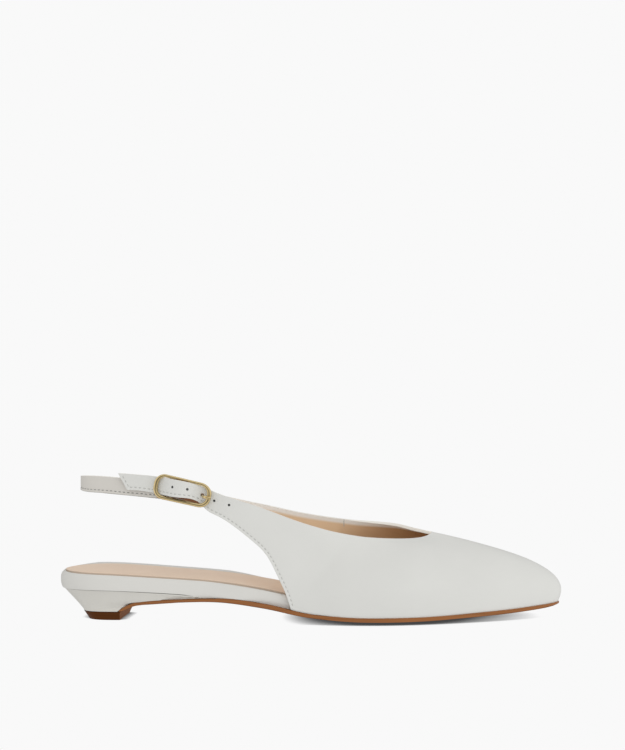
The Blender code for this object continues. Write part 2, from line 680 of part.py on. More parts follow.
def tube(name, points, radius, cyclic):
    """Mesh of a round wire along points in millimetres."""
    curve = bpy.data.curves.new(name, "CURVE")
    curve.dimensions = "3D"
    curve.bevel_depth = radius * MM
    curve.bevel_resolution = 2
    curve.use_fill_caps = True
    line = curve.splines.new("POLY")
    line.points.add(len(points) - 1)
    for place, point in zip(line.points, points):
        place.co = (*(point * MM), 1.0)
    line.use_cyclic_u = cyclic
    wire = bpy.data.objects.new(name, curve)
    bpy.context.scene.collection.objects.link(wire)
    evaluated = wire.evaluated_get(bpy.context.evaluated_depsgraph_get())
    mesh = bpy.data.meshes.new_from_object(evaluated)
    bpy.data.objects.remove(wire)
    bm = bmesh.new()
    bm.from_mesh(mesh)
    bmesh.ops.remove_doubles(bm, verts=bm.verts, dist=MERGE * MM)
    bmesh.ops.recalc_face_normals(bm, faces=bm.faces)
    return bm


def frame_points(corner_steps=4):
    """Rounded rectangle through the middle of the buckle's wire."""
    long_half = BUCKLE_LENGTH / 2 - FRAME_RADIUS - BUCKLE_CORNER
    wide_half = BUCKLE_WIDTH / 2 - FRAME_RADIUS - BUCKLE_CORNER
    points = []
    for quarter, (a, b) in enumerate(((1, 1), (-1, 1), (-1, -1), (1, -1))):
        for k in range(corner_steps + 1):
            angle = math.pi / 2 * (quarter + k / corner_steps)
            points.append(at_buckle(a * long_half + BUCKLE_CORNER * math.cos(angle),
                                    b * wide_half + BUCKLE_CORNER * math.sin(angle), 0.0))
    return points


def make_buckle_frame(finish, collection, cutters):
    """Rounded wire frame joined to its centre bar."""
    made = add_object("buckle_frame", tube("buckle_frame", frame_points(), FRAME_RADIUS, True),
                      finish, collection)
    reach = BUCKLE_WIDTH / 2 - FRAME_RADIUS
    ends = [at_buckle(0, side * reach, BAR_DEPTH / 2) for side in (-1, 1)]
    inner = [at_buckle(0, side * (reach - BAR_BEND), BAR_DEPTH) for side in (-1, 1)]
    bar_mesh = tube("centre_bar", [ends[0], inner[0], inner[1], ends[1]], BAR_RADIUS, False)
    bar = add_object("centre_bar", bar_mesh, finish, cutters)
    bar.hide_render = True
    bar.display_type = "WIRE"
    join = made.modifiers.new("centre_bar", "BOOLEAN")
    join.operation = "UNION"
    join.solver = "EXACT"
    join.object = bar
    return made


def make_buckle_prong(finish, collection):
    """Pin from the centre bar up through the strap's hole to rest on the frame."""
    points = [at_buckle(along, PRONG_ACROSS, out) for along, out in PRONG]
    return add_object("buckle_prong", tube("buckle_prong", points, PRONG_RADIUS, False), finish, collection)


def main():
    """Clear the scene and make every piece."""
    for old in list(bpy.data.objects):
        bpy.data.objects.remove(old)
    collection = bpy.data.collections.new(COLLECTION_NAME)
    cutters = bpy.data.collections.new(CUTTERS_NAME)
    for made in (collection, cutters):
        bpy.context.scene.collection.children.link(made)
    make_outsole(material("sole_leather", SOLE_TAN, 0.5), collection)
    make_top_lift(material("lift", LIFT_BROWN, 0.55), collection)
    make_heel(material("heel_cover", HEEL_WHITE, 0.4), collection)
    make_footbed(material("footbed_cover", WHITE, 0.4), collection)
    make_insole(material("sock_leather", SOCK_BEIGE, 0.6), collection)
    make_upper(material("upper_leather", WHITE, 0.4), collection, cutters)
    make_sling_strap(material("strap_leather", WHITE, 0.4), collection)
    make_buckle_frame(material("frame_gold", PALE_GOLD, 0.25, 1.0), collection, cutters)
    make_buckle_prong(material("prong_gold", PALE_GOLD, 0.25, 1.0), collection)


main()
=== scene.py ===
"""Looks of a slingback court shoe for the right foot: fine surfaces, linings, stitching and finishes.

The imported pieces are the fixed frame. Toe along +X, lateral side along -Y, +Z up, metres. The tables of
section lines are in millimetres, and they give the upper and the sling strap nearly the shape of the frame.
"""
import functools
import math

import bpy
import numpy as np
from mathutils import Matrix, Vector


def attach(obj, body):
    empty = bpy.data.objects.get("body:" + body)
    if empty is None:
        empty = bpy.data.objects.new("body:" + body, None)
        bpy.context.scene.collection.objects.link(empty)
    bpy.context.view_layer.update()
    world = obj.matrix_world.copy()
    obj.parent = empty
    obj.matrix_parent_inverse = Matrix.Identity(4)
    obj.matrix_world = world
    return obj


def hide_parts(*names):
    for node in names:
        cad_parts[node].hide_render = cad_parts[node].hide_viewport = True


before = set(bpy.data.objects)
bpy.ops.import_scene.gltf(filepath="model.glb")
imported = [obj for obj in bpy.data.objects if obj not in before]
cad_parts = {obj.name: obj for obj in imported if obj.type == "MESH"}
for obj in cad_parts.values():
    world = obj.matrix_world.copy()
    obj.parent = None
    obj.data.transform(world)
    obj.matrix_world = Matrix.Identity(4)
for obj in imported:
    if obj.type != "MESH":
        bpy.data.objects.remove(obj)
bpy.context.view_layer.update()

bl_info = {
    "name": "Slingback Court Shoe",
    "version": (1, 0, 0),
    "blender": (4, 5, 0),
    "location": "View3D > Sidebar > Shoe",
    "description": "Models and finishes a leather slingback court shoe on its frame",
    "category": "Object",
}

BODY = "root"
MM = 0.001
MERGE = 0.00001

# Plan at the feather line: x, lateral y, medial y
PLAN_HEEL = (-132.6, 5.0)
PLAN_TIP = (129.4, 3.6)
PLAN = (
    (-127.6, -10.0, 19.2),
    (-117.0, -19.6, 26.8),
    (-102.0, -23.8, 28.1),
    (-80.0, -25.4, 25.3),
    (-55.0, -26.6, 21.7),
    (-30.0, -29.9, 22.9),
    (-11.0, -33.0, 26.0),
    (12.0, -36.5, 32.5),
    (35.0, -37.0, 37.0),
    (58.0, -33.2, 36.2),
    (80.0, -26.2, 31.7),
    (98.0, -18.8, 25.8),
    (112.0, -11.4, 18.9),
    (121.0, -5.6, 13.0),
    (126.6, -1.0, 8.3),
)

# Top of the outsole under the upper: x, z
SOLE_TOP = (
    (-36.0, 12.4),
    (-24.0, 10.7),
    (-15.0, 9.0),
    (-8.0, 6.9),
    (4.0, 5.3),
    (17.0, 4.2),
    (34.0, 3.9),
    (60.0, 4.1),
    (85.0, 5.2),
    (105.0, 6.1),
    (118.0, 6.9),
    (125.0, 7.35),
    (130.5, 7.8),
)

# Section lines of the upper, from the tail of the holed strap round the toe to the medial end: lower end
# x, y, z, upper end x, y, z, and how far the line stands off its chord low, at the middle and high. Those
# of the front start on the feather line at an x, as far as the toe on the lateral side. They also have a
# rise at the same three places and the heading of the bulge in degrees.
STRAP_ROWS = (
    (-95.4, -19.0, 67.6, -100.2, -17.6, 76.1, 0.0, 0.0, 0.0),
    (-88.5, -21.1, 67.3, -87.7, -21.2, 75.4, 0.0, 0.0, 0.0),
    (-81.0, -23.5, 66.4, -79.6, -23.7, 74.7, 0.0, 0.0, 0.0),
    (-67.6, -31.7, 64.5, -65.6, -32.0, 72.7, 0.0, 0.0, 0.0),
    (-57.4, -28.8, 61.5, -55.2, -28.9, 69.6, 0.0, 0.0, 0.0),
    (-54.9, -28.8, 58.9, -52.3, -29.0, 68.2, 0.0, 0.0, 0.0),
    (-48.0, -30.4, 54.9, -42.6, -30.8, 64.6, 0.0, 0.0, 0.0),
    (-40.0, -31.8, 50.0, -32.0, -31.8, 61.4, 0.2, 0.4, 0.2),
    (-31.5, -33.0, 43.4, -20.0, -32.0, 57.2, 0.5, 0.8, 0.5),
    (-23.6, -33.9, 35.8, -9.0, -31.0, 53.0, 0.8, 1.2, 0.8),
    (-18.0, -34.4, 25.5, 2.0, -29.8, 49.4, 1.2, 1.9, 1.4),
    (-14.0, -34.2, 17.0, 11.0, -28.3, 46.9, 2.2, 3.4, 2.4),
)
FRONT_ROWS = (
    (-11.0, 20.0, -26.0, 45.0, 5.5, 7.5, 4.5, 0.0, 0.5, 1.0, 0.0),
    (10.0, 29.0, -23.3, 43.6, 8.0, 10.5, 5.5, 0.0, 1.5, 2.0, 2.0),
    (35.0, 38.0, -19.6, 42.8, 9.5, 13.0, 7.0, 0.0, 3.0, 4.0, 8.0),
    (62.0, 47.5, -13.8, 42.2, 10.5, 15.5, 8.5, 0.0, 2.5, 4.2, 30.0),
    (88.0, 54.5, -8.0, 42.1, 12.4, 20.4, 10.6, -0.4, 1.0, 4.0, 55.0),
    (110.0, 59.6, -2.9, 42.7, 16.4, 29.8, 12.9, -0.2, 0.6, 3.8, 72.0),
    (122.0, 61.8, -0.4, 43.6, 18.2, 37.8, 12.4, -1.4, 1.0, 3.4, 78.0),
    (129.4, 62.6, 1.5, 44.4, 19.8, 42.0, 11.8, -1.9, 1.2, 3.1, 90.0),
    (122.0, 61.6, 2.6, 44.5, 18.2, 37.8, 12.2, -1.4, 1.0, 3.2, 102.0),
    (110.0, 59.4, 3.9, 44.9, 16.4, 29.8, 12.5, -0.2, 0.6, 3.2, 108.0),
    (88.0, 53.5, 7.8, 46.0, 12.2, 19.4, 9.6, -0.4, 1.0, 3.2, 125.0),
    (62.0, 46.0, 13.0, 47.5, 10.0, 14.0, 7.5, 0.0, 2.0, 2.8, 150.0),
    (35.0, 37.0, 18.8, 48.2, 8.5, 11.0, 6.0, 0.0, 1.5, 2.0, 172.0),
    (10.0, 27.5, 22.6, 48.6, 7.0, 8.5, 4.5, 0.0, 0.8, 1.0, 178.0),
    (-11.0, 18.0, 25.4, 49.2, 5.0, 6.5, 3.5, 0.0, 0.3, 0.5, 180.0),
)
MEDIAL_ROWS = (
    (-14.0, 28.2, 17.0, 9.0, 27.4, 50.2, 2.5, 3.5, 2.5),
    (-18.0, 29.7, 25.5, -1.0, 29.2, 51.6, 1.5, 2.2, 1.6),
    (-23.6, 30.7, 34.8, -11.0, 30.4, 53.4, 1.0, 1.4, 1.0),
    (-31.5, 31.4, 42.0, -22.0, 31.2, 55.8, 0.6, 0.9, 0.6),
    (-40.0, 31.7, 48.0, -34.0, 31.8, 58.2, 0.2, 0.4, 0.2),
    (-49.2, 31.2, 52.3, -46.6, 31.2, 61.0, 0.0, 0.0, 0.0),
)

# Sling strap, middle of its outer face: x, y, z, from the medial quarter round the heel to the buckle
SLING = (
    (-48.4, 31.2, 56.7),
    (-62.0, 30.3, 60.4),
    (-80.0, 27.4, 63.9),
    (-97.0, 22.0, 66.2),
    (-110.0, 16.3, 67.9),
    (-119.0, 9.6, 69.3),
    (-121.9, 3.0, 70.0),
    (-119.3, -4.4, 70.1),
    (-111.0, -10.9, 70.0),
    (-104.5, -13.6, 69.7),
    (-97.0, -16.2, 69.1),
    (-88.0, -18.8, 68.5),
    (-80.6, -21.2, 68.1),
)

# Buckle: centre, direction along the strap, and sizes
BUCKLE_CENTRE = (-66.6, -28.2, 67.8)
BUCKLE_ALONG = (27.5, -5.3, -5.6)
BUCKLE_LENGTH = 30.0
BUCKLE_WIDTH = 13.0
BUCKLE_CORNER = 4.6
FRAME_RADIUS = 0.95
BAR_RADIUS = 0.8
BAR_DEPTH = -0.8
BAR_BEND = 1.3
FOLD_LENGTH = 4.0
# Sling strap before the centre bar: along the strap, across it, drop below its lie under the bar
SLING_APPROACH = (
    (-7.0, -0.7, 0.5),
    (-2.5, -0.1, 0.0),
)
# Turned end of the sling strap: share of its length, drop below its lie over the bar
FOLD_RETURN = (
    (0.5, 0.3),
    (1.0, 1.1),
)
PRONG_ACROSS = -0.47
# Prong: along the strap, out from the frame's plane, radius
PRONG = (
    (2.7, -1.0, 0.62),
    (5.5, -1.8, 0.60),
    (8.6, -2.9, 0.58),
    (9.6, -2.8, 0.60),
    (10.3, -2.0, 0.64),
    (10.9, -0.9, 0.68),
    (11.8, 0.9, 0.72),
    (13.6, 2.4, 0.74),
    (16.1, 2.2, 0.60),
)

WALL = 1.6
SLING_WALL = 1.0
SLING_ROUND = 0.3  # share of its wall that its edges may be rounded by
SLING_WIDTH = 8.8
GAP = 0.3
# Holes of the strap: x, share of the way up across it, radius, depth
HOLES = (
    (-71.3, 0.55, 0.68, 0.8),
    (-63.5, 0.57, 0.68, 0.8),
    (-56.1, 0.52, 0.90, 3.2),
    (-50.0, 0.60, 0.66, 1.2),
    (-42.4, 0.67, 0.66, 1.2),
)

# Grids of the upper and the sling strap: distances in from an edge, steps between, lines to a table row
EDGE_RUN = (0.0, 0.35, 0.7, 1.0, 1.3, 1.6, 1.9, 2.3, 2.8, 3.2)
MIDDLE_STEPS = 40
LINE_STEPS = 12
CURVE_SAMPLES = 80
SLING_STEPS = 150
FOLD_STEPS = 14
# Lines of the upper where its lower edge meets the feather line, and the one over the toe
FIRST_LINE = len(STRAP_ROWS) * LINE_STEPS
LAST_LINE = FIRST_LINE + (len(FRONT_ROWS) - 1) * LINE_STEPS
TOE_LINE = FIRST_LINE + len(FRONT_ROWS) // 2 * LINE_STEPS

RIDGE_LINES = 14  # lines to each side that soften the ridge over the toe, and how far round it goes
RIDGE_REACH = 26.0
RIDGE_RUN = (0.42, 0.62, 0.85, 1.0)  # share of the way up: start of the softening, full, still full, end

# Relief of the leather
STITCH_IN = 1.5  # stitch line in from a cut edge
GROOVE_DEPTH = 0.16  # leather drawn down along a stitch line
GROOVE_WIDTH = 0.42
LIP_HEIGHT = 0.10  # leather swelling between a stitch line and the edge
LIP_PLACE = 0.4  # middle and width of the swelling, as shares of the way to the stitch line
LIP_WIDTH = 0.35
LEAST_SLANT = 0.4  # limit to the slant of a section line that sets the stitch line further along it
EDGE_LEAD = 0.7  # part of a row by which a cut edge reaches into the feather line
DIMPLE_DEPTH = 0.14  # leather pressed down round a punched hole
DIMPLE_WIDTH = 0.7
FACING_WIDTH = 3.4  # white leather turned in along the topline
FACING_FADE = 1.6  # from white to tan above its edge, a soft fade that is painted light on the lining's upper part
STRAP_LINED = 6  # strap rows with no turned-in leather, and the rows over which it comes in
STRAP_FADE = 3
FACING_MARK = "below_topline"
HOLE_SIDES = 28
HOLE_SHADE = 0.78  # share by which the leather in the holes is darker: painted shade inside the punched holes


def spline(knots, rows, at):
    """Natural cubic spline through rows at increasing knots, read at the places asked for."""
    knots = np.asarray(knots, float)
    rows = np.asarray(rows, float).reshape(len(knots), -1)
    step = np.diff(knots)[:, None]
    slope = np.diff(rows, axis=0) / step
    count = len(knots)
    system = np.eye(count)
    right = np.zeros(rows.shape)
    for i in range(1, count - 1):
        system[i, i - 1:i + 2] = step[i - 1, 0], 2 * (step[i - 1, 0] + step[i, 0]), step[i, 0]
        right[i] = 6 * (slope[i] - slope[i - 1])
    bend = np.linalg.solve(system, right)
    at = np.atleast_1d(np.asarray(at, float))
    span = np.clip(np.searchsorted(knots, at) - 1, 0, count - 2)
    along = (at - knots[span])[:, None]
    left = step[span]
    start = slope[span] - left * (2 * bend[span] + bend[span + 1]) / 6
    cubic = (bend[span + 1] - bend[span]) / (6 * left)
    return rows[span] + along * (start + along * (bend[span] / 2 + along * cubic))


def chord_knots(points):
    """Running length along a row of points, as spline knots."""
    steps = np.linalg.norm(np.diff(np.asarray(points, float), axis=0), axis=1)
    return np.concatenate(([0.0], np.cumsum(steps)))


def unit(vectors):
    """Vectors of length one."""
    return vectors / np.linalg.norm(vectors, axis=-1, keepdims=True)


def read(columns, knots, at):
    """A row of values between rows given at knots."""
    return np.array([np.interp(at, knots, column) for column in columns.T])


def ramp(value, start, end):
    """Share of the way from a start to an end, held at nothing before it and one after it."""
    return np.clip((value - start) / (end - start), 0, 1)


def along_run(value, run):
    """Share that rises over the first two of four places and falls over the last two."""
    return ramp(value, run[0], run[1]) * ramp(value, run[3], run[2])


def bump(distance, width):
    """A soft ridge, one at no distance and fading over a width."""
    return np.exp(-(distance / width) ** 2)


def pressed(distance, inset):
    """Relief of the leather along a cut edge: a swelling, and a groove under the stitch line."""
    lip = LIP_HEIGHT * bump(distance - LIP_PLACE * inset, LIP_WIDTH * inset)
    return lip - GROOVE_DEPTH * bump(distance - inset, GROOVE_WIDTH)


def closed_plan(per_span=24):
    """The plan at the feather line as a dense closed run: heel, lateral side, tip, medial side."""
    lateral = [(x, y) for x, y, _ in PLAN]
    medial = [(x, y) for x, _, y in reversed(PLAN)]
    loop = np.array([PLAN_HEEL] + lateral + [PLAN_TIP] + medial)
    count = len(loop)
    three_turns = np.vstack((loop, loop, loop, loop[:1]))
    knots = chord_knots(three_turns)
    at = np.interp(np.arange(count * per_span) / per_span + count, np.arange(len(knots)), knots)
    run = spline(knots, three_turns, at)
    return np.vstack((run, run[:1]))


PLAN_RUN = closed_plan()
PLAN_LENGTHS = chord_knots(PLAN_RUN)


def feather_places():
    """Where each front row starts, as a length along the plan from its heel point."""
    tip = int(np.argmax(PLAN_RUN[:, 0]))
    found = []
    for row, (x, *_) in enumerate(FRONT_ROWS):
        span = slice(0, tip + 1) if row <= len(FRONT_ROWS) // 2 else slice(-2, tip - 1, -1)
        found.append(np.interp(x, PLAN_RUN[span, 0], PLAN_LENGTHS[span]))
    return np.array(found)


def on_feather(at):
    """Points of the feather line, just above the outsole, at lengths along the plan."""
    plan = np.stack([np.interp(at, PLAN_LENGTHS, PLAN_RUN[:, i]) for i in (0, 1)], axis=1)
    top = np.array(SOLE_TOP)
    return np.column_stack((plan, spline(top[:, 0], top[:, 1], plan[:, 0]) + GAP))


def upper_lines():
    """Lower ends and shapes of the upper's section lines, several to each row of the tables."""
    front = feather_places()
    strap = np.array([(*row, 0, 0, 0, 0) for row in STRAP_ROWS])
    medial = np.array([(*row, 0, 0, 0, 180) for row in MEDIAL_ROWS])
    shape = np.vstack((strap[:, 3:], np.array(FRONT_ROWS)[:, 1:], medial[:, 3:]))
    lower = np.vstack((strap[:, :3], on_feather(front), medial[:, :3]))
    knots = chord_knots((lower + shape[:, :3]) / 2)
    first, last = len(strap), len(strap) + len(front) - 1
    places = np.arange((len(knots) - 1) * LINE_STEPS + 1) / LINE_STEPS
    fine = np.interp(places, np.arange(len(knots)), knots)
    low = np.empty((len(fine), 3))
    behind, ahead = fine <= knots[first], fine >= knots[last]
    between = ~(behind | ahead)
    low[behind] = spline(knots[:first + 1], lower[:first + 1], fine[behind])
    low[ahead] = spline(knots[last:], lower[last:], fine[ahead])
    low[between] = on_feather(spline(knots[first:last + 1], front, fine[between])[:, 0])
    return low, spline(knots, shape, fine)


def quartic(part):
    """Weights of a quartic curve's five control points."""
    return np.array([math.comb(4, k) * part ** k * (1 - part) ** (4 - k) for k in range(5)])


def rows_across(length):
    """Distances from one edge of a strip where points are set, closer together at both edges."""
    edge = np.array(EDGE_RUN)
    middle = np.linspace(edge[-1], length - edge[-1], MIDDLE_STEPS + 1)[1:-1]
    return np.concatenate((edge, middle, length - edge[::-1]))


@functools.lru_cache(maxsize=None)
def upper_grid():
    """Points of the upper's outer face, line by line, and their distances from the lower edge."""
    low, shape = upper_lines()
    high = shape[:, :3]
    heading = np.radians(shape[:, 9])
    out = np.stack((np.sin(heading), -np.cos(heading), np.zeros(len(heading))), axis=1)
    up = np.array((0.0, 0.0, 1.0))
    control = [low]
    for place, share in enumerate((0.25, 0.5, 0.75)):
        stand, rise = shape[:, 3 + place, None], shape[:, 6 + place, None]
        control.append(low + (high - low) * share + out * stand + up * rise)
    control = np.stack(control + [high], axis=1)
    part = np.linspace(0, 1, CURVE_SAMPLES + 1)
    grid, from_low = [], []
    for line in control:
        lengths = chord_knots(quartic(part).T @ line)
        rows = rows_across(lengths[-1])
        grid.append(quartic(np.interp(rows, lengths, part)).T @ line)
        from_low.append(rows)
    return softened(np.array(grid)), np.array(from_low)


def softened(grid):
    """The ridge over the toe made rounder, each point drawn to the mean of those beside it."""
    lines, rows = grid.shape[:2]
    beside = np.arange(-RIDGE_LINES, RIDGE_LINES + 1)
    share = bump(beside, RIDGE_LINES / 2)
    mean = np.array([np.tensordot(share / share.sum(), grid[np.clip(i + beside, 0, lines - 1)], 1)
                     for i in range(lines)])
    over = along_run(np.linspace(0, 1, rows), RIDGE_RUN)
    pull = bump(np.arange(lines) - TOE_LINE, RIDGE_REACH)[:, None] * over
    return grid + (mean - grid) * pull[..., None]


def face_normals(grid):
    """Outward directions over a grid of lines along a strip and points up across it."""
    return unit(np.cross(np.gradient(grid, axis=0), np.gradient(grid, axis=1)))


def free_edge():
    """How far each line's lower edge is a cut edge and not the feather line: one, or nothing."""
    place = np.arange(len(upper_grid()[0]))
    return np.clip(np.maximum(FIRST_LINE - place, place - LAST_LINE) / LINE_STEPS + EDGE_LEAD, 0, 1)


def stitch_inset(grid):
    """Distance along each line at which the stitch line runs level with the lower edge."""
    edge, line = unit(np.gradient(grid[:, 0], axis=0)), unit(grid[:, 2] - grid[:, 0])
    slant = np.linalg.norm(np.cross(edge, line), axis=1)
    return STITCH_IN / np.clip(slant, LEAST_SLANT, 1)


def from_tail(grid):
    """Distance of each point from the slanted end of the holed strap."""
    steps = np.linalg.norm(np.diff(grid, axis=0), axis=2)
    run = np.vstack((np.zeros(grid.shape[1]), np.cumsum(steps, axis=0)))
    end = unit(grid[0, -1] - grid[0, 0])
    along = unit(grid[LINE_STEPS] - grid[0])
    return run * np.linalg.norm(np.cross(along, end), axis=1)


def hole_places():
    """Centres, outward directions, radii and depths of the strap's holes."""
    grid, rows = upper_grid()
    found = []
    for x, share, radius, depth in HOLES:
        middle = np.array([read(grid[i], rows[i], share * rows[i, -1]) for i in range(FIRST_LINE)])
        i = int(np.argmin(np.abs(middle[:, 0] - x)))
        along = middle[i + 1] - middle[i - 1]
        centre = middle[i] + along * (x - middle[i, 0]) / along[0]
        found.append((centre, unit(np.array((along[1], -along[0], 0.0))), radius, depth))
    return found


@functools.lru_cache(maxsize=None)
def upper_face():
    """The upper's outer face with its stitch lines, edges and punched holes pressed into the leather."""
    grid, from_low = upper_grid()
    relief = pressed(from_low, stitch_inset(grid)[:, None]) * free_edge()[:, None]
    relief += pressed(from_tail(grid), STITCH_IN)
    for centre, _, radius, _ in hole_places():
        reach = np.linalg.norm(grid - centre, axis=2)
        relief -= DIMPLE_DEPTH * bump(np.maximum(reach - radius, 0), DIMPLE_WIDTH)
    face = grid + face_normals(grid) * relief[..., None]
    face[FIRST_LINE:LAST_LINE + 1, 0, 2] -= GAP
    return face


def buckle_axes():
    """Directions along the strap, across it and out of it at the buckle."""
    along = unit(np.array(BUCKLE_ALONG))
    across = unit(np.array((0.0, 0.0, 1.0)) - along * along[2])
    return along, across, np.cross(along, across)


def at_buckle(along, across, out):
    """A point in the buckle's own directions, in the shoe's frame, in millimetres."""
    axes = buckle_axes()
    return np.array(BUCKLE_CENTRE) + along * axes[0] + across * axes[1] + out * axes[2]


SLING_TUCK = 1.2  # start of the sling strap inside the medial quarter's end
SLING_SINK = 0.3  # its outer face below the quarter's, dying away over the next length
SLING_SINK_RUN = 8.0
SLING_NARROW = 0.16  # share of its width taken up where it bends round the heel
SLING_NARROW_RUN = 8.0
SLING_STITCH_FROM = 3.0
SLING_STITCH_LEAVE = 9.0
SEAM_X = 17.2  # join of the turned-in facing on the medial side, and how far below the topline
SEAM_DEPTHS = (0.1, 4.6)
SEAM_POINTS = 8
TAIL_POINTS = 6  # points of the stitch path across the strap's tail


@functools.lru_cache(maxsize=None)
def sling_grid():
    """Points of the sling strap's outer face, line by line from the medial quarter to its turned end."""
    clear = BAR_RADIUS + GAP
    under_bar, over_bar = BAR_DEPTH - clear, BAR_DEPTH + clear
    approach = [at_buckle(along, aside, under_bar - drop) for along, aside, drop in SLING_APPROACH]
    route = np.vstack((SLING, approach))
    knots = chord_knots(route)
    run = np.linspace(-SLING_TUCK, knots[-1], SLING_STEPS + 1)
    strap = spline(knots, route, run)
    angles = np.linspace(-math.pi / 2, math.pi / 2, FOLD_STEPS + 1)
    fold = [at_buckle(clear * math.cos(a), 0, BAR_DEPTH + clear * math.sin(a)) for a in angles]
    fold += [at_buckle(-FOLD_LENGTH * share, 0, over_bar - drop) for share, drop in FOLD_RETURN]
    ahead = unit(np.gradient(strap, axis=0))
    across = unit(np.array((0.0, 0.0, 1.0)) - ahead * ahead[:, 2:3])
    across = np.vstack((across, np.tile(buckle_axes()[1], (len(fold), 1))))
    rows = rows_across(SLING_WIDTH)
    middle = np.vstack((strap, fold))
    from_back = chord_knots(middle) - chord_knots(middle)[np.argmin(middle[:, 0])]
    narrowed = 1 - SLING_NARROW * bump(from_back, SLING_NARROW_RUN)
    aside = (rows - SLING_WIDTH / 2) * narrowed[:, None]
    grid = middle[:, None, :] + aside[..., None] * across[:, None, :]
    relief = np.tile(pressed(rows, STITCH_IN), (len(grid), 1))
    relief[len(strap):] = 0
    relief[:len(strap)] -= SLING_SINK * ramp(run, SLING_SINK_RUN, 0.0)[:, None] ** 2
    return grid + face_normals(grid) * relief[..., None]


def path_on(face, line_places, row_distances, rows):
    """Points and outward directions over a face at places along it and distances up from its lower edge."""
    normals = face_normals(face)
    points, outward = [], []
    for place, distance in zip(line_places, row_distances):
        i = min(int(place), len(face) - 2)
        part = place - i
        for field, found in ((face, points), (normals, outward)):
            before, after = [read(field[k], rows[k], distance) for k in (i, i + 1)]
            found.append((1 - part) * before + part * after)
    return np.array(points), unit(np.array(outward))


def upper_stitch_paths():
    """Stitch paths on the upper: round the strap's tail and down the lateral edge, and the medial edge."""
    grid, rows = upper_grid()
    face = upper_face()
    inset = stitch_inset(grid)
    tail = from_tail(grid)
    height = np.linspace(rows[0, -1] - STITCH_IN, STITCH_IN, TAIL_POINTS)
    columns = [int(np.argmin(np.abs(rows[0] - h))) for h in height]
    tail_places = [np.interp(STITCH_IN, tail[:, k], np.arange(len(grid))) for k in columns]
    edge_places = np.arange(math.ceil(tail_places[-1]) + 1, FIRST_LINE + 1)
    lateral = path_on(face, np.concatenate((tail_places, edge_places)),
                      np.concatenate((height, inset[edge_places])), rows)
    medial_places = np.arange(LAST_LINE, len(grid) - 1)
    medial = path_on(face, medial_places, inset[medial_places], rows)
    return [lateral, medial]


def sling_stitch_path():
    """Stitch path along the sling strap's lower edge."""
    face = sling_grid()[:SLING_STEPS + 1]
    lengths = chord_knots(face[:, 0])
    shown = (lengths > SLING_STITCH_FROM) & (lengths < lengths[-1] - SLING_STITCH_LEAVE)
    places = np.nonzero(shown)[0]
    rows = np.tile(rows_across(SLING_WIDTH), (len(face), 1))
    return path_on(face, places, np.full(len(places), STITCH_IN), rows)


def facing_seam_path():
    """Path of the join across the turned-in facing, on the inside of the medial topline."""
    grid, rows = upper_grid()
    lines = np.arange(LAST_LINE + LINE_STEPS, TOE_LINE, -1)
    places, distances = [], []
    for depth in np.linspace(*SEAM_DEPTHS, SEAM_POINTS):
        x = [np.interp(rows[k, -1] - depth, rows[k], grid[k, :, 0]) for k in lines]
        place = np.interp(SEAM_X, x, lines)
        places.append(place)
        distances.append(rows[int(place), -1] - depth)
    points, outward = path_on(grid, places, distances, rows)
    return points - outward * WALL


def colour(name, description, default):
    """A colour that a user may change."""
    return bpy.props.FloatVectorProperty(name=name, description=description, default=default,
                                         subtype="COLOR", size=3, min=0.0, max=1.0)


def length(name, description, default):
    """A length that a user may change."""
    return bpy.props.FloatProperty(name=name, description=description, default=default,
                                   unit="LENGTH", precision=5, min=0.0)


class ShoeSizes(bpy.types.PropertyGroup):
    """Sizes of the fine detail."""

    stitch_pitch: length("Stitch pitch", "Distance from one stitch to the next", 0.0024)
    stitch_length: length("Stitch length", "Thread showing in each stitch", 0.0017)
    thread_radius: length("Thread radius", "Half the thickness of the sewing thread", 0.0002)
    edge_round: length("Leather edge", "Rounding of the upper's cut edges", 0.0005)
    cover_round: length("Cover edge", "Rounding of the leather over the heel", 0.0006)
    sole_round: length("Sole edge", "Rounding of the outsole, the footbed and the wearing piece", 0.0003)
    sock_round: length("Sock edge", "Rounding of the insole's edge", 0.0005)


class ShoeColours(bpy.types.PropertyGroup):
    """Colours of the finishes."""

    upper: colour("Upper", "Off-white leather of the upper and straps", (0.675, 0.675, 0.645))
    edge: colour("Edge", "Cut edges of the upper and straps", (0.86, 0.835, 0.77))
    # brighter than the upper's own white leather: painted light on the inside of the topline
    facing: colour("Facing", "Leather turned in along the topline", (0.82, 0.795, 0.745))
    lining: colour("Lining", "Tan leather inside the upper", (0.79, 0.575, 0.37))
    # darker and warmer than the upper though the same leather: painted shade of the sling round the heel
    # and under the tail
    strap: colour("Strap", "Off-white leather of the sling strap", (0.625, 0.60, 0.555))
    # the strap's tan-brown lining made much darker: painted shade of the buckle's fold
    shaded_strap_lining: colour("Strap lining", "Brown leather inside the sling strap", (0.175, 0.064, 0.018))
    cover: colour("Cover", "Off-white leather over the footbed", (0.665, 0.655, 0.62))
    heel: colour("Heel", "Off-white leather over the heel", (0.615, 0.60, 0.555))
    sock: colour("Sock", "Beige leather of the insole", (0.775, 0.607, 0.468))
    sole: colour("Sole", "Tan leather of the outsole", (0.32, 0.122, 0.036))
    lift: colour("Lift", "Brown wearing piece of the heel", (0.095, 0.030, 0.006))
    thread: colour("Thread", "Sewing thread of the upper", (0.54, 0.54, 0.515))
    strap_thread: colour("Strap thread", "Sewing thread of the sling strap", (0.27, 0.27, 0.255))
    gold: colour("Gold", "Plated metal of the buckle", (0.58, 0.455, 0.235))
    floor: colour("Floor", "Pale studio floor", (0.947, 0.947, 0.947))


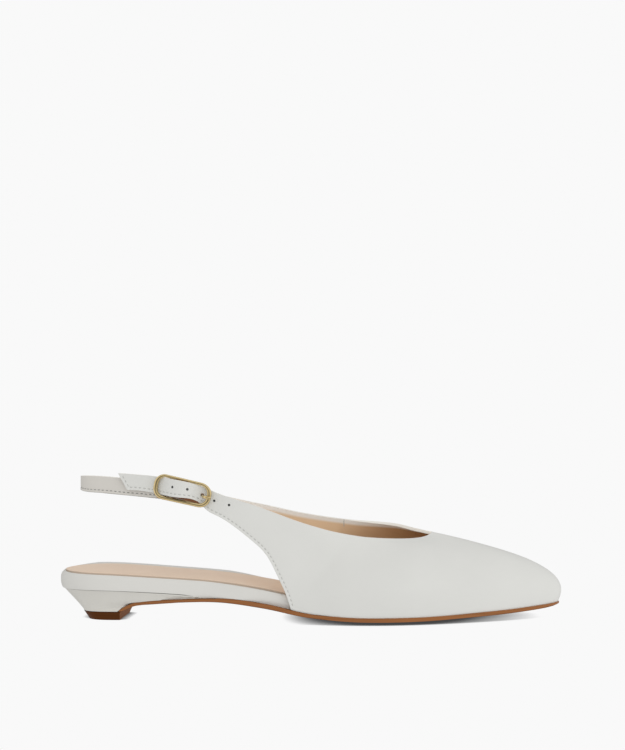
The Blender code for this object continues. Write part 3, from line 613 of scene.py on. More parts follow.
GRAIN = 0.0007  # width of the leather's grain, and its depth
GRAIN_DEPTH = 0.00005
EDGE_DEPTH = 0.00003  # the same at cut edges
LINING_GRAIN = 0.0005
UPPER_ROUGH = 0.44  # roughness of the leathers
COVER_ROUGH = 0.46
EDGE_ROUGH = 0.5
LINING_ROUGH = 0.62
DULL_ROUGH = 0.6
LEATHER_GLOSS = 0.42
CLOUD_SCALE = 38.0
LINING_DEEP = (12.0, 58.0)  # x over which painted shade makes the lining darker towards the toe
LINING_SHADE = (0.66, 0.52, 0.38)


def settings(context):
    """The sizes and colours that a user may change."""
    return context.scene.shoe_sizes, context.scene.shoe_colours


def shader_of(name):
    """A new material, its node tree and its shader."""
    made = bpy.data.materials.new(name)
    made.use_nodes = True
    return made, made.node_tree, made.node_tree.nodes["Principled BSDF"]


def fed(socket, value):
    """Give an input a value, a colour or a link."""
    if isinstance(value, bpy.types.NodeSocket):
        socket.id_data.links.new(value, socket)
    else:
        socket.default_value = (*value, 1.0) if socket.type == "RGBA" else value


def given(made, **values):
    """Give a node inputs or settings by name."""
    for key, value in values.items():
        socket = made.inputs.get(key.replace("_", " "))
        if socket is not None:
            fed(socket, value)
        else:
            setattr(made, key, value)
    return made


def node(tree, kind, **values):
    """A new node with inputs or settings given by name."""
    return given(tree.nodes.new(kind), **values)


def stretched(tree, scale=(1.0, 1.0, 1.0)):
    """Object coordinates, scaled along each axis."""
    place = node(tree, "ShaderNodeTexCoord").outputs["Object"]
    return node(tree, "ShaderNodeMapping", Scale=scale, Vector=place).outputs["Vector"]


def noise(tree, vector, scale, detail, roughness=0.5):
    """A soft noise."""
    return node(tree, "ShaderNodeTexNoise", Vector=vector, Scale=scale, Detail=detail,
                Roughness=roughness).outputs["Fac"]


def streaked(tree, scale, detail, roughness=0.5):
    """A soft noise, drawn out by a scale along each axis."""
    return noise(tree, stretched(tree, scale), 1.0, detail, roughness)


def ranged(tree, value, low=0.0, high=1.0, start=0.3, end=0.7):
    """A value carried from one range to another."""
    return node(tree, "ShaderNodeMapRange", Value=value, From_Min=start, From_Max=end, To_Min=low,
                To_Max=high).outputs["Result"]


def mixed(tree, factor, first, second, blend="MIX"):
    """A colour between two, by a factor."""
    made = node(tree, "ShaderNodeMix", data_type="RGBA", blend_type=blend)
    for place, value in ((0, factor), (6, first), (7, second)):
        fed(made.inputs[place], value)
    return made.outputs[2]


def bumped(tree, height, strength, distance, **below):
    """A bump, over another if one is given as the normal."""
    return node(tree, "ShaderNodeBump", Strength=strength, Distance=distance, Height=height,
                **below).outputs["Normal"]


def shaded(tone, share):
    """A colour made darker by a share."""
    return tuple(c * (1 - share) for c in tone)


def leather(name, tone, roughness, grain=GRAIN, depth=GRAIN_DEPTH, mottle=0.035):
    """Smooth leather: a fine grain, pores and faint clouds of darker tone."""
    made, tree, shader = shader_of(name)
    place = stretched(tree)
    clouds = noise(tree, place, CLOUD_SCALE, 4.0)
    cells = node(tree, "ShaderNodeTexVoronoi", feature="SMOOTH_F1", Vector=place, Scale=1 / grain,
                 Smoothness=0.7)
    pebbled = bumped(tree, cells.outputs["Distance"], 0.5, depth)
    pores = noise(tree, place, 3.5 / grain, 3.0)
    given(shader, Base_Color=mixed(tree, ranged(tree, clouds), tone, shaded(tone, mottle)),
          Roughness=ranged(tree, clouds, roughness - 0.04, roughness + 0.06),
          Normal=bumped(tree, pores, 0.4, depth / 2, Normal=pebbled), Specular_IOR_Level=LEATHER_GLOSS)
    return made


def lined_leather(name, tone, turned_in):
    """Lining leather under the white leather turned in along the topline, which fades into it, and painted
    shade deeper towards the toe.
    """
    made = leather(name, tone, LINING_ROUGH, LINING_GRAIN, mottle=0.10)
    tree = made.node_tree
    base = tree.nodes["Principled BSDF"].inputs["Base Color"]
    below = node(tree, "ShaderNodeAttribute", attribute_name=FACING_MARK).outputs["Fac"]
    edge = ranged(tree, below, 0.0, 1.0, (FACING_WIDTH - FACING_FADE) * MM, FACING_WIDTH * MM)
    # painted shade: the lining darker towards the toe, where little light reaches inside
    along = node(tree, "ShaderNodeSeparateXYZ", Vector=stretched(tree)).outputs["X"]
    inner = ranged(tree, along, 0.0, 1.0, LINING_DEEP[0] * MM, LINING_DEEP[1] * MM)
    toe_shaded = mixed(tree, inner, base.links[0].from_socket, LINING_SHADE, "MULTIPLY")
    fed(base, mixed(tree, edge, turned_in, toe_shaded))
    return made


def sole_leather(name, tone, gloss=0.22):
    """Waxed sole leather: thin layers along the trimmed edge, a little darker in streaks."""
    made, tree, shader = shader_of(name)
    layers = streaked(tree, (26.0, 26.0, 900.0), 3.0, 0.6)
    fibres = streaked(tree, (700.0, 700.0, 2400.0), 2.0)
    rough = bumped(tree, layers, 0.35, 0.00012)
    given(shader, Base_Color=mixed(tree, ranged(tree, layers), tone, shaded(tone, 0.28)),
          Roughness=ranged(tree, layers, 0.38, 0.56), Specular_IOR_Level=gloss,
          Normal=bumped(tree, fibres, 0.3, 0.00005, Normal=rough))
    return made


def tread_leather(name, tone):
    """Underside of the sole: buffed leather with long soft scratches."""
    made, tree, shader = shader_of(name)
    scratches = streaked(tree, (60.0, 900.0, 60.0), 4.0, 0.65)
    clouds = streaked(tree, (30.0, 30.0, 30.0), 4.0)
    given(shader, Base_Color=mixed(tree, ranged(tree, clouds), tone, shaded(tone, 0.18)),
          Roughness=ranged(tree, scratches, 0.36, 0.6), Normal=bumped(tree, scratches, 0.25, 0.0001))
    return made


def plated_metal(name, tone):
    """Polished plating with faint handling marks."""
    made, tree, shader = shader_of(name)
    marks = streaked(tree, (400.0, 400.0, 1500.0), 3.0)
    given(shader, Base_Color=tone, Metallic=1.0, Roughness=ranged(tree, marks, 0.14, 0.26),
          Normal=bumped(tree, marks, 0.08, 0.00003))
    return made


def twisted_thread(name, tone):
    """Waxed sewing thread, its twist as slanting bands."""
    made, tree, shader = shader_of(name)
    twist = node(tree, "ShaderNodeTexWave", Vector=stretched(tree), Scale=900.0, Distortion=1.5,
                 bands_direction="DIAGONAL").outputs["Fac"]
    given(shader, Base_Color=mixed(tree, twist, shaded(tone, 0.25), tone), Roughness=0.7,
          Normal=bumped(tree, twist, 0.4, 0.00005))
    return made


def start_clean():
    """Leave nothing selected."""
    bpy.ops.object.select_all(action="DESELECT")


def only(piece):
    """Select one object and make it active."""
    start_clean()
    piece.select_set(True)
    bpy.context.view_layer.objects.active = piece


def merged(share=1.0):
    """Open the active piece for editing, all of it selected and points closer than a share merged."""
    bpy.ops.object.mode_set(mode="EDIT")
    bpy.ops.mesh.select_all(action="SELECT")
    bpy.ops.mesh.remove_doubles(threshold=MERGE * share)


def apply_modifier(piece, kind, name, **settings):
    """Add a modifier with its settings, and apply it."""
    only(piece)
    made = piece.modifiers.new(name, kind)
    for key, value in settings.items():
        setattr(made, key, value)
    if bpy.ops.object.modifier_apply(modifier=made.name) != {"FINISHED"}:
        raise RuntimeError(f"{name} did not apply to {piece.name}")


def placed(piece, slot, *nodes):
    """Let a finished piece ride on the shoe and let it stand for frame pieces; the name of its finish is
    not used.
    """
    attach(piece, BODY)
    if nodes:
        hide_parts(*nodes)


EDGE_ANGLE = 40.0  # degrees between faces that stay sharp, and the same on thin round wire
ROUND_ANGLE = 60.0


def smooth(piece, angle=EDGE_ANGLE):
    """Shade smooth, keeping edges sharper than an angle."""
    only(piece)
    bpy.ops.object.shade_smooth_by_angle(angle=math.radians(angle))


def finished_with(piece, *finishes):
    """Give a piece its materials, in slot order."""
    piece.data.materials.clear()
    for finish in finishes:
        piece.data.materials.append(finish)


def slotted(piece, slot, chosen):
    """Put the faces that a test picks into a material slot."""
    for polygon in piece.data.polygons:
        if chosen(polygon):
            polygon.material_index = slot


def strip(name, face):
    """A strip of quads through the points of a face, shaped from a flat grid."""
    lines, rows = face.shape[:2]
    start_clean()
    bpy.ops.mesh.primitive_grid_add(x_subdivisions=lines - 1, y_subdivisions=rows - 1, size=1.0)
    piece = bpy.context.active_object
    piece.name = piece.data.name = name
    if len(piece.data.vertices) != lines * rows:
        raise RuntimeError(f"the grid of {name} has {len(piece.data.vertices)} points")
    piece.data.vertices.foreach_set("co", (face.transpose(1, 0, 2) * MM).ravel())
    piece.data.update()
    return piece


def rim_weights(mesh, lines, rows, held=None):
    """Weight the rim edges of a walled strip for rounding, leaving out a held run of its lower edge."""
    pairs = np.empty(len(mesh.edges) * 2, int)
    mesh.edges.foreach_get("vertices", pairs)
    count = lines * rows
    side, place = np.divmod(pairs.reshape(-1, 2), count)
    row, line = np.divmod(place, lines)
    along = (row[:, 0] == row[:, 1]) & np.isin(row[:, 0], (0, rows - 1))
    across = (line[:, 0] == line[:, 1]) & np.isin(line[:, 0], (0, lines - 1))
    rim = (side[:, 0] == side[:, 1]) & (along | across)
    if held is not None:
        rim &= ~((row == 0) & (line >= held[0]) & (line <= held[1])).all(axis=1)
    weights = mesh.attributes.new("bevel_weight_edge", "FLOAT", "EDGE")
    weights.data.foreach_set("value", rim.astype(np.float32))


UNDER_EDGE_SHADE = 0.65  # share by which cut edges that face down are darker: painted shade under the edges
UNDER_FROM = -0.18  # upward share of their direction below which they get the painted shade


def edge_finishes(name, under, tone):
    """Leather of the cut edges, and a darker copy of it, painted shade, for those that face down."""
    return (leather(name, tone, EDGE_ROUGH, depth=EDGE_DEPTH),
            leather(under, shaded(tone, UNDER_EDGE_SHADE), DULL_ROUGH, depth=EDGE_DEPTH))


def walled(piece, face, thickness, rounding, held=None):
    """Give a strip its wall, slot one inside, two on the rim and three, darker with painted shade, where
    the rim faces down, and round its edges.
    """
    lines, rows = face.shape[:2]
    apply_modifier(piece, "SOLIDIFY", "wall", thickness=thickness * MM, offset=-1.0, use_even_offset=True,
                   material_offset=1, material_offset_rim=2)
    rim_weights(piece.data, lines, rows, held)
    apply_modifier(piece, "BEVEL", "turned edge", width=rounding, segments=3, limit_method="WEIGHT",
                   material=2)
    # rim faces that face down take the darker leather of slot three: painted shade
    slotted(piece, 3, lambda face: face.material_index == 2 and face.normal.z < UNDER_FROM)


def refined(source, name, finishes, rounding, levels=2, edge_slot=-1, sharp=35.0):
    """A finer copy of a frame piece: outlines smoothed, sharp edges kept and then rounded."""
    only(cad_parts[source])
    bpy.ops.object.duplicate()
    piece = bpy.context.active_object
    piece.name = piece.data.name = name
    piece.parent = None
    for mark in list(piece.keys()):
        del piece[mark]
    finished_with(piece, *finishes)
    bpy.ops.mesh.customdata_custom_splitnormals_clear()
    merged()
    bpy.ops.mesh.select_mode(type="EDGE")
    bpy.ops.mesh.tris_convert_to_quads(face_threshold=math.radians(30), shape_threshold=math.radians(80))
    bpy.ops.mesh.select_all(action="DESELECT")
    bpy.ops.mesh.edges_select_sharp(sharpness=math.radians(sharp))
    bpy.ops.transform.edge_crease(value=1.0)
    bpy.ops.object.mode_set(mode="OBJECT")
    apply_modifier(piece, "SUBSURF", "smooth outline", levels=levels, render_levels=levels)
    apply_modifier(piece, "BEVEL", "rounded edge", width=rounding, segments=4, limit_method="ANGLE",
                   angle_limit=math.radians(sharp), material=edge_slot)
    smooth(piece)
    return piece


def reshaped(piece, shape):
    """Move a piece's points by a shape that takes places in millimetres and outward directions."""
    count = len(piece.data.vertices)
    places, outward = np.empty(count * 3, np.float32), np.empty(count * 3, np.float32)
    piece.data.vertices.foreach_get("co", places)
    piece.data.vertex_normals.foreach_get("vector", outward)
    moved = shape(places.reshape(-1, 3) / MM, outward.reshape(-1, 3)) * MM
    piece.data.vertices.foreach_set("co", moved.astype(np.float32).ravel())
    piece.data.update()


def wire(name, points, radii, closed):
    """A round wire through points in millimetres, as a mesh."""
    curve = bpy.data.curves.new(name, "CURVE")
    curve.dimensions = "3D"
    curve.bevel_depth = MM
    curve.bevel_resolution = 6
    curve.use_fill_caps = True
    line = curve.splines.new("POLY")
    line.points.add(len(points) - 1)
    for place, point, radius in zip(line.points, points, radii):
        place.co = (*(point * MM), 1.0)
        place.radius = radius
    line.use_cyclic_u = closed
    made = bpy.data.objects.new(name, curve)
    bpy.context.scene.collection.objects.link(made)
    only(made)
    bpy.ops.object.convert(target="MESH")
    piece = bpy.context.active_object
    merged(0.1)
    bpy.ops.mesh.normals_make_consistent(inside=False)
    bpy.ops.object.mode_set(mode="OBJECT")
    return piece


THREAD_LIFT = 0.4  # share of its radius that a stitch stands up in the middle
THREAD_DIVE = 1.3  # share of its radius that its ends go down
THREAD_BLUNT = 0.7  # below 1 the ends are blunter than a ball's


def sewn(name, paths, sizes, finish):
    """Stitches set evenly along paths, as one piece of thread."""
    start_clean()
    bpy.ops.mesh.primitive_uv_sphere_add(segments=8, ring_count=8, radius=1.0)
    model = bpy.context.active_object
    shape = np.array([vert.co for vert in model.data.vertices])[:, [2, 0, 1]]
    loops = [list(face.vertices) for face in model.data.polygons]
    bpy.data.objects.remove(model)
    along = np.sign(shape[:, 0]) * np.abs(shape[:, 0]) ** THREAD_BLUNT
    lift = shape[:, 2] + THREAD_LIFT - THREAD_DIVE * along ** 2
    points, polygons = [], []
    for path, outward in paths:
        run = chord_knots(path)
        count = int(run[-1] * MM // sizes.stitch_pitch)
        for k in range(count):
            middle = (k + 0.5) * run[-1] / count
            half = sizes.stitch_length / MM / 2
            ends = [read(path, run, middle + s) for s in (-half, half)]
            out = unit(read(outward, run, middle))
            ahead = unit(ends[1] - ends[0])
            side = np.cross(out, ahead)
            centre = (ends[0] + ends[1]) / 2 * MM
            stitch = (centre + np.outer(along, ahead) * sizes.stitch_length / 2
                      + (np.outer(shape[:, 1], side) + np.outer(lift, out)) * sizes.thread_radius)
            polygons += [[v + len(shape) * len(points) for v in loop] for loop in loops]
            points.append(stitch)
    mesh = bpy.data.meshes.new(name)
    mesh.from_pydata(np.vstack(points).tolist(), [], polygons)
    mesh.materials.append(finish)
    mesh.shade_smooth()
    piece = bpy.data.objects.new(name, mesh)
    bpy.context.scene.collection.objects.link(piece)
    return piece


class SHOE_OT_upper(bpy.types.Operator):
    """Model the upper: one leather wall with its lining, turned topline, pressed edges and punched holes"""

    bl_idname = "shoe.upper"
    bl_label = "Upper"

    def execute(self, context):
        sizes, tones = settings(context)
        face = upper_face()
        distances = upper_grid()[1]
        piece = strip("upper_leather", face)
        strap_line = ramp(np.arange(len(face)) / LINE_STEPS, STRAP_LINED + STRAP_FADE, STRAP_LINED)
        below = distances[:, -1:] - distances + FACING_WIDTH * strap_line[:, None]
        mark = piece.data.attributes.new(FACING_MARK, "FLOAT", "POINT")
        mark.data.foreach_set("value", (below.T * MM).ravel().astype(np.float32))
        lining = lined_leather("lining_leather", tones.lining, tones.facing)
        finished_with(piece, leather("smooth_leather", tones.upper, UPPER_ROUGH), lining,
                      *edge_finishes("edge_leather", "painted_shade_edge", tones.edge))
        walled(piece, face, WALL, sizes.edge_round, (FIRST_LINE, LAST_LINE))
        self.punch(piece, tones)
        smooth(piece)
        placed(piece, "upper_leather", "upper")
        return {"FINISHED"}

    def punch(self, piece, tones):
        """Cut the strap's holes, the leather inside them darker as painted shade."""
        start_clean()
        # the holes' walls and bottoms take darker leather: painted shade
        dark = leather("hole_painted_shade", shaded(tones.upper, HOLE_SHADE), 0.8, LINING_GRAIN, 0.00004)
        punches = []
        for centre, outward, radius, depth in hole_places():
            turned = Vector(outward).to_track_quat("Z", "Y").to_euler()
            bpy.ops.mesh.primitive_cylinder_add(
                vertices=HOLE_SIDES, radius=radius * MM, depth=2 * depth * MM,
                location=Vector(centre * MM), rotation=turned)
            punches.append(bpy.context.active_object)
        start_clean()
        for punch in punches:
            punch.select_set(True)
        bpy.ops.object.join()
        cutter = bpy.context.active_object
        finished_with(cutter, dark)
        apply_modifier(piece, "BOOLEAN", "holes", operation="DIFFERENCE", solver="EXACT", object=cutter,
                       material_mode="TRANSFER")
        bpy.data.objects.remove(cutter)


class SHOE_OT_sling(bpy.types.Operator):
    """Model the sling strap from the medial quarter round the heel, turned back over the buckle's bar"""

    bl_idname = "shoe.sling"
    bl_label = "Sling strap"

    def execute(self, context):
        sizes, tones = settings(context)
        face = sling_grid()
        piece = strip("sling_leather", face)
        lining = leather("shaded_strap_lining", tones.shaded_strap_lining, LINING_ROUGH, LINING_GRAIN, mottle=0.12)
        finished_with(piece, leather("strap_leather", tones.strap, COVER_ROUGH), lining,
                      *edge_finishes("strap_edge", "strap_painted_shade_edge", tones.edge))
        walled(piece, face, SLING_WALL, min(sizes.edge_round, SLING_ROUND * SLING_WALL * MM))
        smooth(piece)
        placed(piece, "upper_leather", "sling_strap")
        return {"FINISHED"}


class SHOE_OT_stitching(bpy.types.Operator):
    """Sew the strap's tail, the quarters' rear edges, the sling strap and the join of the facing"""

    bl_idname = "shoe.stitching"
    bl_label = "Stitching"

    def execute(self, context):
        sizes, tones = settings(context)
        thread = twisted_thread("sewing_thread", tones.thread)
        placed(sewn("upper_stitches", upper_stitch_paths(), sizes, thread), "upper_leather")
        dark = twisted_thread("strap_thread", tones.strap_thread)
        placed(sewn("sling_stitches", [sling_stitch_path()], sizes, dark), "upper_leather")
        line = facing_seam_path()
        seam = wire("facing_seam", line, [sizes.thread_radius / MM] * len(line), False)
        finished_with(seam, thread)
        smooth(seam, ROUND_ANGLE)
        placed(seam, "upper_leather")
        return {"FINISHED"}


# White band round the seat: x, its lower and upper edge, rise of its rim on the medial side
BAND = (
    (-133.0, 15.4, 23.9, 0.5),
    (-124.0, 15.8, 24.0, 1.2),
    (-115.0, 16.1, 24.0, 1.9),
    (-107.0, 16.2, 23.9, 1.9),
    (-85.0, 15.6, 22.9, 1.9),
    (-62.0, 14.2, 21.6, 1.9),
    (-42.0, 12.6, 19.8, 1.9),
    (-24.0, 11.2, 17.6, 1.2),
    (0.0, 7.0, 12.0, 0.0),
)
BAND_BACK = (-112.0, -131.0)  # x over which the band turns into its rounder back
BAND_LOW = (0.5, 1.1)  # drawn in at its lower edge, along the sides and at the back
BAND_HIGH = (0.9, 2.0)  # the same at its upper edge
BAND_CURVES = (2.5, 4)  # powers that shape the rounding below and above
BAND_REACH = 3.0  # how far in the drawing reaches over its faces
RIM_SIDES = (-12.0, 10.0)  # y over which the rim's rise grows
RIM_LEAST = 0.12  # share of it on the lateral side
RIM_WIDTH = 1.6  # width over which the rim dies away, and the widths in from the outline where it ends
RIM_END = 1.4
TUCK_RUN = (-44.0, -18.0)  # x over which the footbed is drawn in under the upper
FOOTBED_TUCK = 2.6
# Runs of x: start, full, still full, end
COVER_LOW = 0.75  # covers drawn down over the sole's edge, the band along a run
COVER_RUN = (-66.0, -52.0, -10.0, 10.0)
BREAST_RUN = (-97.0, -89.0)  # x over which the heel's cover starts to do so
COVER_TURN = (0.0, -0.5)  # upward share of a direction over which its underside starts
EDGE_REACH = 4.0  # width over which this dies away, and the widths in from the outline where it ends
EDGE_END = 1.5
FOOTBED_SPREAD = 1.3  # band spread just behind the quarters
SPREAD_RUN = (-52.0, -36.0, -20.0, -6.0)
EDGE_DOWN = 0.6  # sole's edge thinned from above
# Sole's edge raised below along the waist, and lowered below the breast and the toe: rise, run
EDGE_RAISED = (
    (0.35, (-70.0, -58.0, -22.0, 8.0)),
    (-0.5, (-99.0, -93.0, -84.0, -68.0)),
    (-0.4, (70.0, 95.0, 126.0, 134.0)),
)
SOLE_NARROW = 0.075  # share of the sole's width taken up beside the breast
SOLE_BREAST = (-103.0, -98.0, -88.0, -72.0)
CORNER_SHADE = 0.35  # share by which its corners are darker: edge ink, and painted shade of the lines along its joins
LEVEL_FULL = 0.7  # upward share of a direction from which a face counts as level


def from_plan(places):
    """Distance of points in from the plan's outline, and the way further in."""
    nearest = [int(np.argmin(((PLAN_RUN - place) ** 2).sum(axis=1))) for place in places[:, :2]]
    ahead = np.gradient(PLAN_RUN, axis=0)[nearest]
    gap = np.linalg.norm(PLAN_RUN[nearest] - places[:, :2], axis=1)
    return gap, unit(np.column_stack((-ahead[:, 1], ahead[:, 0])))


def toward_back(x, ends):
    """A size that goes from one along the sides to another round the back of the seat."""
    return ends[0] + (ends[1] - ends[0]) * ramp(x, *BAND_BACK)


def near_edge(gap, width, end=1.0):
    """Share of an edge's shaping that is left at a distance in from the outline."""
    return np.clip(end - gap / width, 0, 1)


class SHOE_OT_footbed(bpy.types.Operator):
    """Model the covered footbed, its edge showing as a white band round the seat"""

    bl_idname = "shoe.footbed"
    bl_label = "Footbed"

    def execute(self, context):
        sizes, tones = settings(context)
        cover = leather("cover_leather", tones.cover, COVER_ROUGH)
        piece = refined("footbed", "footbed_cover", [cover], sizes.sole_round, levels=3)
        reshaped(piece, self.drawn)
        placed(piece, "cover_leather", "footbed")
        return {"FINISHED"}

    def drawn(self, places, _):
        """The band rounded, and its rim drawn up round the sock, more on the medial side."""
        x, y, z = places.T
        tuck = ramp(x, *TUCK_RUN)
        inset = FOOTBED_TUCK * tuck * tuck * (3 - 2 * tuck)
        gap, inward = from_plan(places)
        gap -= inset
        band = np.array(BAND)
        low, high, rise = read(band[:, 1:], band[:, 0], x)
        level = np.clip(2 * (z - low) / (high - low) - 1, -1, 1)
        top = toward_back(x, BAND_HIGH) * np.maximum(level, 0) ** BAND_CURVES[1]
        bottom = toward_back(x, BAND_LOW) * np.maximum(-level, 0) ** BAND_CURVES[0]
        rise *= RIM_LEAST + (1 - RIM_LEAST) * ramp(y, *RIM_SIDES)
        rise *= near_edge(gap, RIM_WIDTH, RIM_END)
        places[:, :2] += inward * ((top + bottom) * near_edge(gap, BAND_REACH))[:, None]
        places[:, 2] += rise * np.clip(level, 0, 1) ** 3
        edge = near_edge(gap, EDGE_REACH, EDGE_END)
        places[:, :2] -= inward * (FOOTBED_SPREAD * along_run(x, SPREAD_RUN) * edge)[:, None]
        places[:, 2] -= COVER_LOW * np.clip(-level, 0, 1) ** 2 * along_run(x, COVER_RUN) * edge
        return places


SOCK_PRESS = 0.2  # lower face and edge of the sock pressed towards the footbed
SOCK_DRAW = (0.3, 1.9)  # its edge drawn in from the band, along the sides and at the back
SOCK_REACH = 7.0
SOCK_GRAIN = (0.0006, 0.00006)
SOCK_TURN = (0.6, 0.1)  # upward share of a direction over which its edge starts to be pressed
SOCK_SHADE = 0.34  # share by which its edge is darker: painted shade of the gap along the band
STEEP = 0.5  # upward share of a direction below which a face counts as an edge


class SHOE_OT_insole(bpy.types.Operator):
    """Model the padded sock on the footbed"""

    bl_idname = "shoe.insole"
    bl_label = "Insole"

    def execute(self, context):
        sizes, tones = settings(context)
        finishes = [leather(name, tone, DULL_ROUGH, *SOCK_GRAIN, mottle=0.06) for name, tone in
                    (("sock_leather", tones.sock), ("sock_shaded_edge", shaded(tones.sock, SOCK_SHADE)))]
        piece = refined("insole", "padded_sock", finishes, sizes.sock_round, edge_slot=1)
        # the sock's sides take the darker edge leather: painted shade
        slotted(piece, 1, lambda face: abs(face.normal.z) < STEEP)
        reshaped(piece, self.pressed_down)
        placed(piece, "sock_leather", "insole")
        return {"FINISHED"}

    def pressed_down(self, places, outward):
        """The sock's edge drawn in from the band and pressed on to the footbed."""
        gap, inward = from_plan(places)
        drawn = toward_back(places[:, 0], SOCK_DRAW) * near_edge(gap, SOCK_REACH)
        places[:, :2] += inward * drawn[:, None]
        places[:, 2] -= SOCK_PRESS * ramp(outward[:, 2], *SOCK_TURN)
        return places


HEEL_SPREAD = 0.05  # share of the heel's width added towards its front tip
HEEL_TIP = (-96.0, -80.0, -50.0, -40.0)  # x where it is: start, full, still full, end
LIFT_FLARE = 1.9  # top front edge of the wearing piece drawn forward
LIFT_FRONT = (-104.0, -98.0)  # x over which that grows, and y
LIFT_SIDES = (-14.0, 14.0)
LIFT_GLOSS = 0.06
LIFT_SHADE = 0.3  # share by which its front is darker than the sole
FRONTAL = 0.6  # share of a direction from which a face counts as its front, or the tread


class SHOE_OT_heel(bpy.types.Operator):
    """Model the covered heel and the wearing piece under it"""

    bl_idname = "shoe.heel"
    bl_label = "Heel"

    def execute(self, context):
        sizes, tones = settings(context)
        cover = leather("heel_leather", tones.heel, COVER_ROUGH)
        block = refined("heel", "heel_cover", [cover], sizes.cover_round)
        reshaped(block, self.over_sole)
        placed(block, "cover_leather", "heel")
        worn = [sole_leather("lift_edge", tones.lift, LIFT_GLOSS),
                sole_leather("lift_breast", shaded(tones.sole, LIFT_SHADE), LIFT_GLOSS)]
        lift = refined("top_lift", "wearing_piece", worn, sizes.sole_round)
        reshaped(lift, self.flared)
        slotted(lift, 1, lambda face: face.normal.x > FRONTAL)
        placed(lift, "lift_rubber", "top_lift")
        return {"FINISHED"}

    def over_sole(self, places, outward):
        """The cover's lower edge drawn down over the sole along the breast, and its front tip spread."""
        below = ramp(outward[:, 2], *COVER_TURN)
        places[:, 2] -= COVER_LOW * ramp(places[:, 0], *BREAST_RUN) * below
        places[:, 1] *= 1 + HEEL_SPREAD * along_run(places[:, 0], HEEL_TIP)
        return places

    def flared(self, places, _):
        """The front of the wearing piece running up into the breast, more on the medial side."""
        x, y, z = places.T
        places[:, 0] += LIFT_FLARE * ramp(x, *LIFT_FRONT) * ramp(y, *LIFT_SIDES) * z / z.max()
        return places


class SHOE_OT_outsole(bpy.types.Operator):
    """Model the thin leather sole, its layered edge and its buffed underside"""

    bl_idname = "shoe.outsole"
    bl_label = "Outsole"

    def execute(self, context):
        sizes, tones = settings(context)
        finishes = [sole_leather("sole_edge", tones.sole), tread_leather("sole_tread", tones.sole),
                    sole_leather("sole_corner_ink_and_shade", shaded(tones.sole, CORNER_SHADE))]
        piece = refined("outsole", "leather_sole", finishes, sizes.sole_round, edge_slot=2)
        reshaped(piece, self.thinned)
        slotted(piece, 1, lambda face: face.normal.z < -FRONTAL)
        placed(piece, "sole_leather", "outsole")
        return {"FINISHED"}

    def thinned(self, places, outward):
        """The sole's edge thinner under the covers, and thicker below the breast and the toe."""
        x = places[:, 0]
        upward = np.clip(outward[:, 2] / LEVEL_FULL, -1, 1)
        top = EDGE_DOWN * np.maximum(upward, 0) * along_run(x, (*BREAST_RUN, *COVER_RUN[2:]))
        bottom = sum(rise * along_run(x, run) for rise, run in EDGE_RAISED) * np.maximum(-upward, 0)
        places[:, 2] += (bottom - top) * near_edge(from_plan(places)[0], EDGE_REACH, EDGE_END)
        places[:, 1] *= 1 - SOLE_NARROW * along_run(x, SOLE_BREAST)
        return places


FRAME_WIRE = (1.15, 0.80, 0.98)  # radius of the frame's wire at its ends, along its top and below
FRAME_DROOP = 0.75  # its upper front corner bent down
FRAME_REACH = 0.7  # its front end drawn out
FRAME_BENT = (4.0, 14.0)  # along the strap, where that starts and is full
PRONG_STEPS = 60


class SHOE_OT_buckle(bpy.types.Operator):
    """Model the buckle's rounded frame with its centre bar, and its prong"""

    bl_idname = "shoe.buckle"
    bl_label = "Buckle"

    def execute(self, context):
        gold = plated_metal("pale_gold", context.scene.shoe_colours.gold)
        points, radii = self.frame_wire()
        piece = wire("gold_frame", points, radii, True)
        reach = BUCKLE_WIDTH / 2 - FRAME_RADIUS
        inner = reach - BAR_BEND
        line = [at_buckle(0, across, out) for across, out in
                ((-reach, BAR_DEPTH / 2), (-inner, BAR_DEPTH), (inner, BAR_DEPTH), (reach, BAR_DEPTH / 2))]
        bar = wire("centre_bar", line, [BAR_RADIUS] * len(line), False)
        apply_modifier(piece, "BOOLEAN", "centre bar", operation="UNION", solver="EXACT", object=bar)
        bpy.data.objects.remove(bar)
        finished_with(piece, gold)
        smooth(piece)
        placed(piece, "buckle_metal", "buckle_frame")
        places = np.array(PRONG)
        run = chord_knots(places[:, :2])
        fine = spline(run, places, np.linspace(0, run[-1], PRONG_STEPS))
        pin = wire("gold_prong", [at_buckle(a, PRONG_ACROSS, o) for a, o, _ in fine], fine[:, 2], False)
        finished_with(pin, gold)
        smooth(pin, ROUND_ANGLE)
        placed(pin, "buckle_metal", "buckle_prong")
        return {"FINISHED"}

    def frame_wire(self, corner_steps=12):
        """Middle and radius of the frame's wire, round a rectangle with its front end drawn out."""
        corner = BUCKLE_CORNER + FRAME_RADIUS
        long_half, wide_half = BUCKLE_LENGTH / 2 - corner, BUCKLE_WIDTH / 2 - corner
        end, top, bottom = FRAME_WIRE
        points, radii = [], []
        for quarter, (a, b) in enumerate(((1, 1), (-1, 1), (-1, -1), (1, -1))):
            for k in range(corner_steps + 1):
                angle = math.pi / 2 * (quarter + k / corner_steps)
                along, across = math.cos(angle), math.sin(angle)
                radius = end * along ** 2 + (top if across > 0 else bottom) * across ** 2
                run = a * long_half + (corner - radius) * along
                rise = b * wide_half + (corner - radius) * across
                bent = ramp(run, *FRAME_BENT)
                rise -= FRAME_DROOP * bent * max(rise, 0.0) / (BUCKLE_WIDTH / 2)
                points.append(at_buckle(run + FRAME_REACH * bent ** 2, rise, 0.0))
                radii.append(radius)
        return points, radii


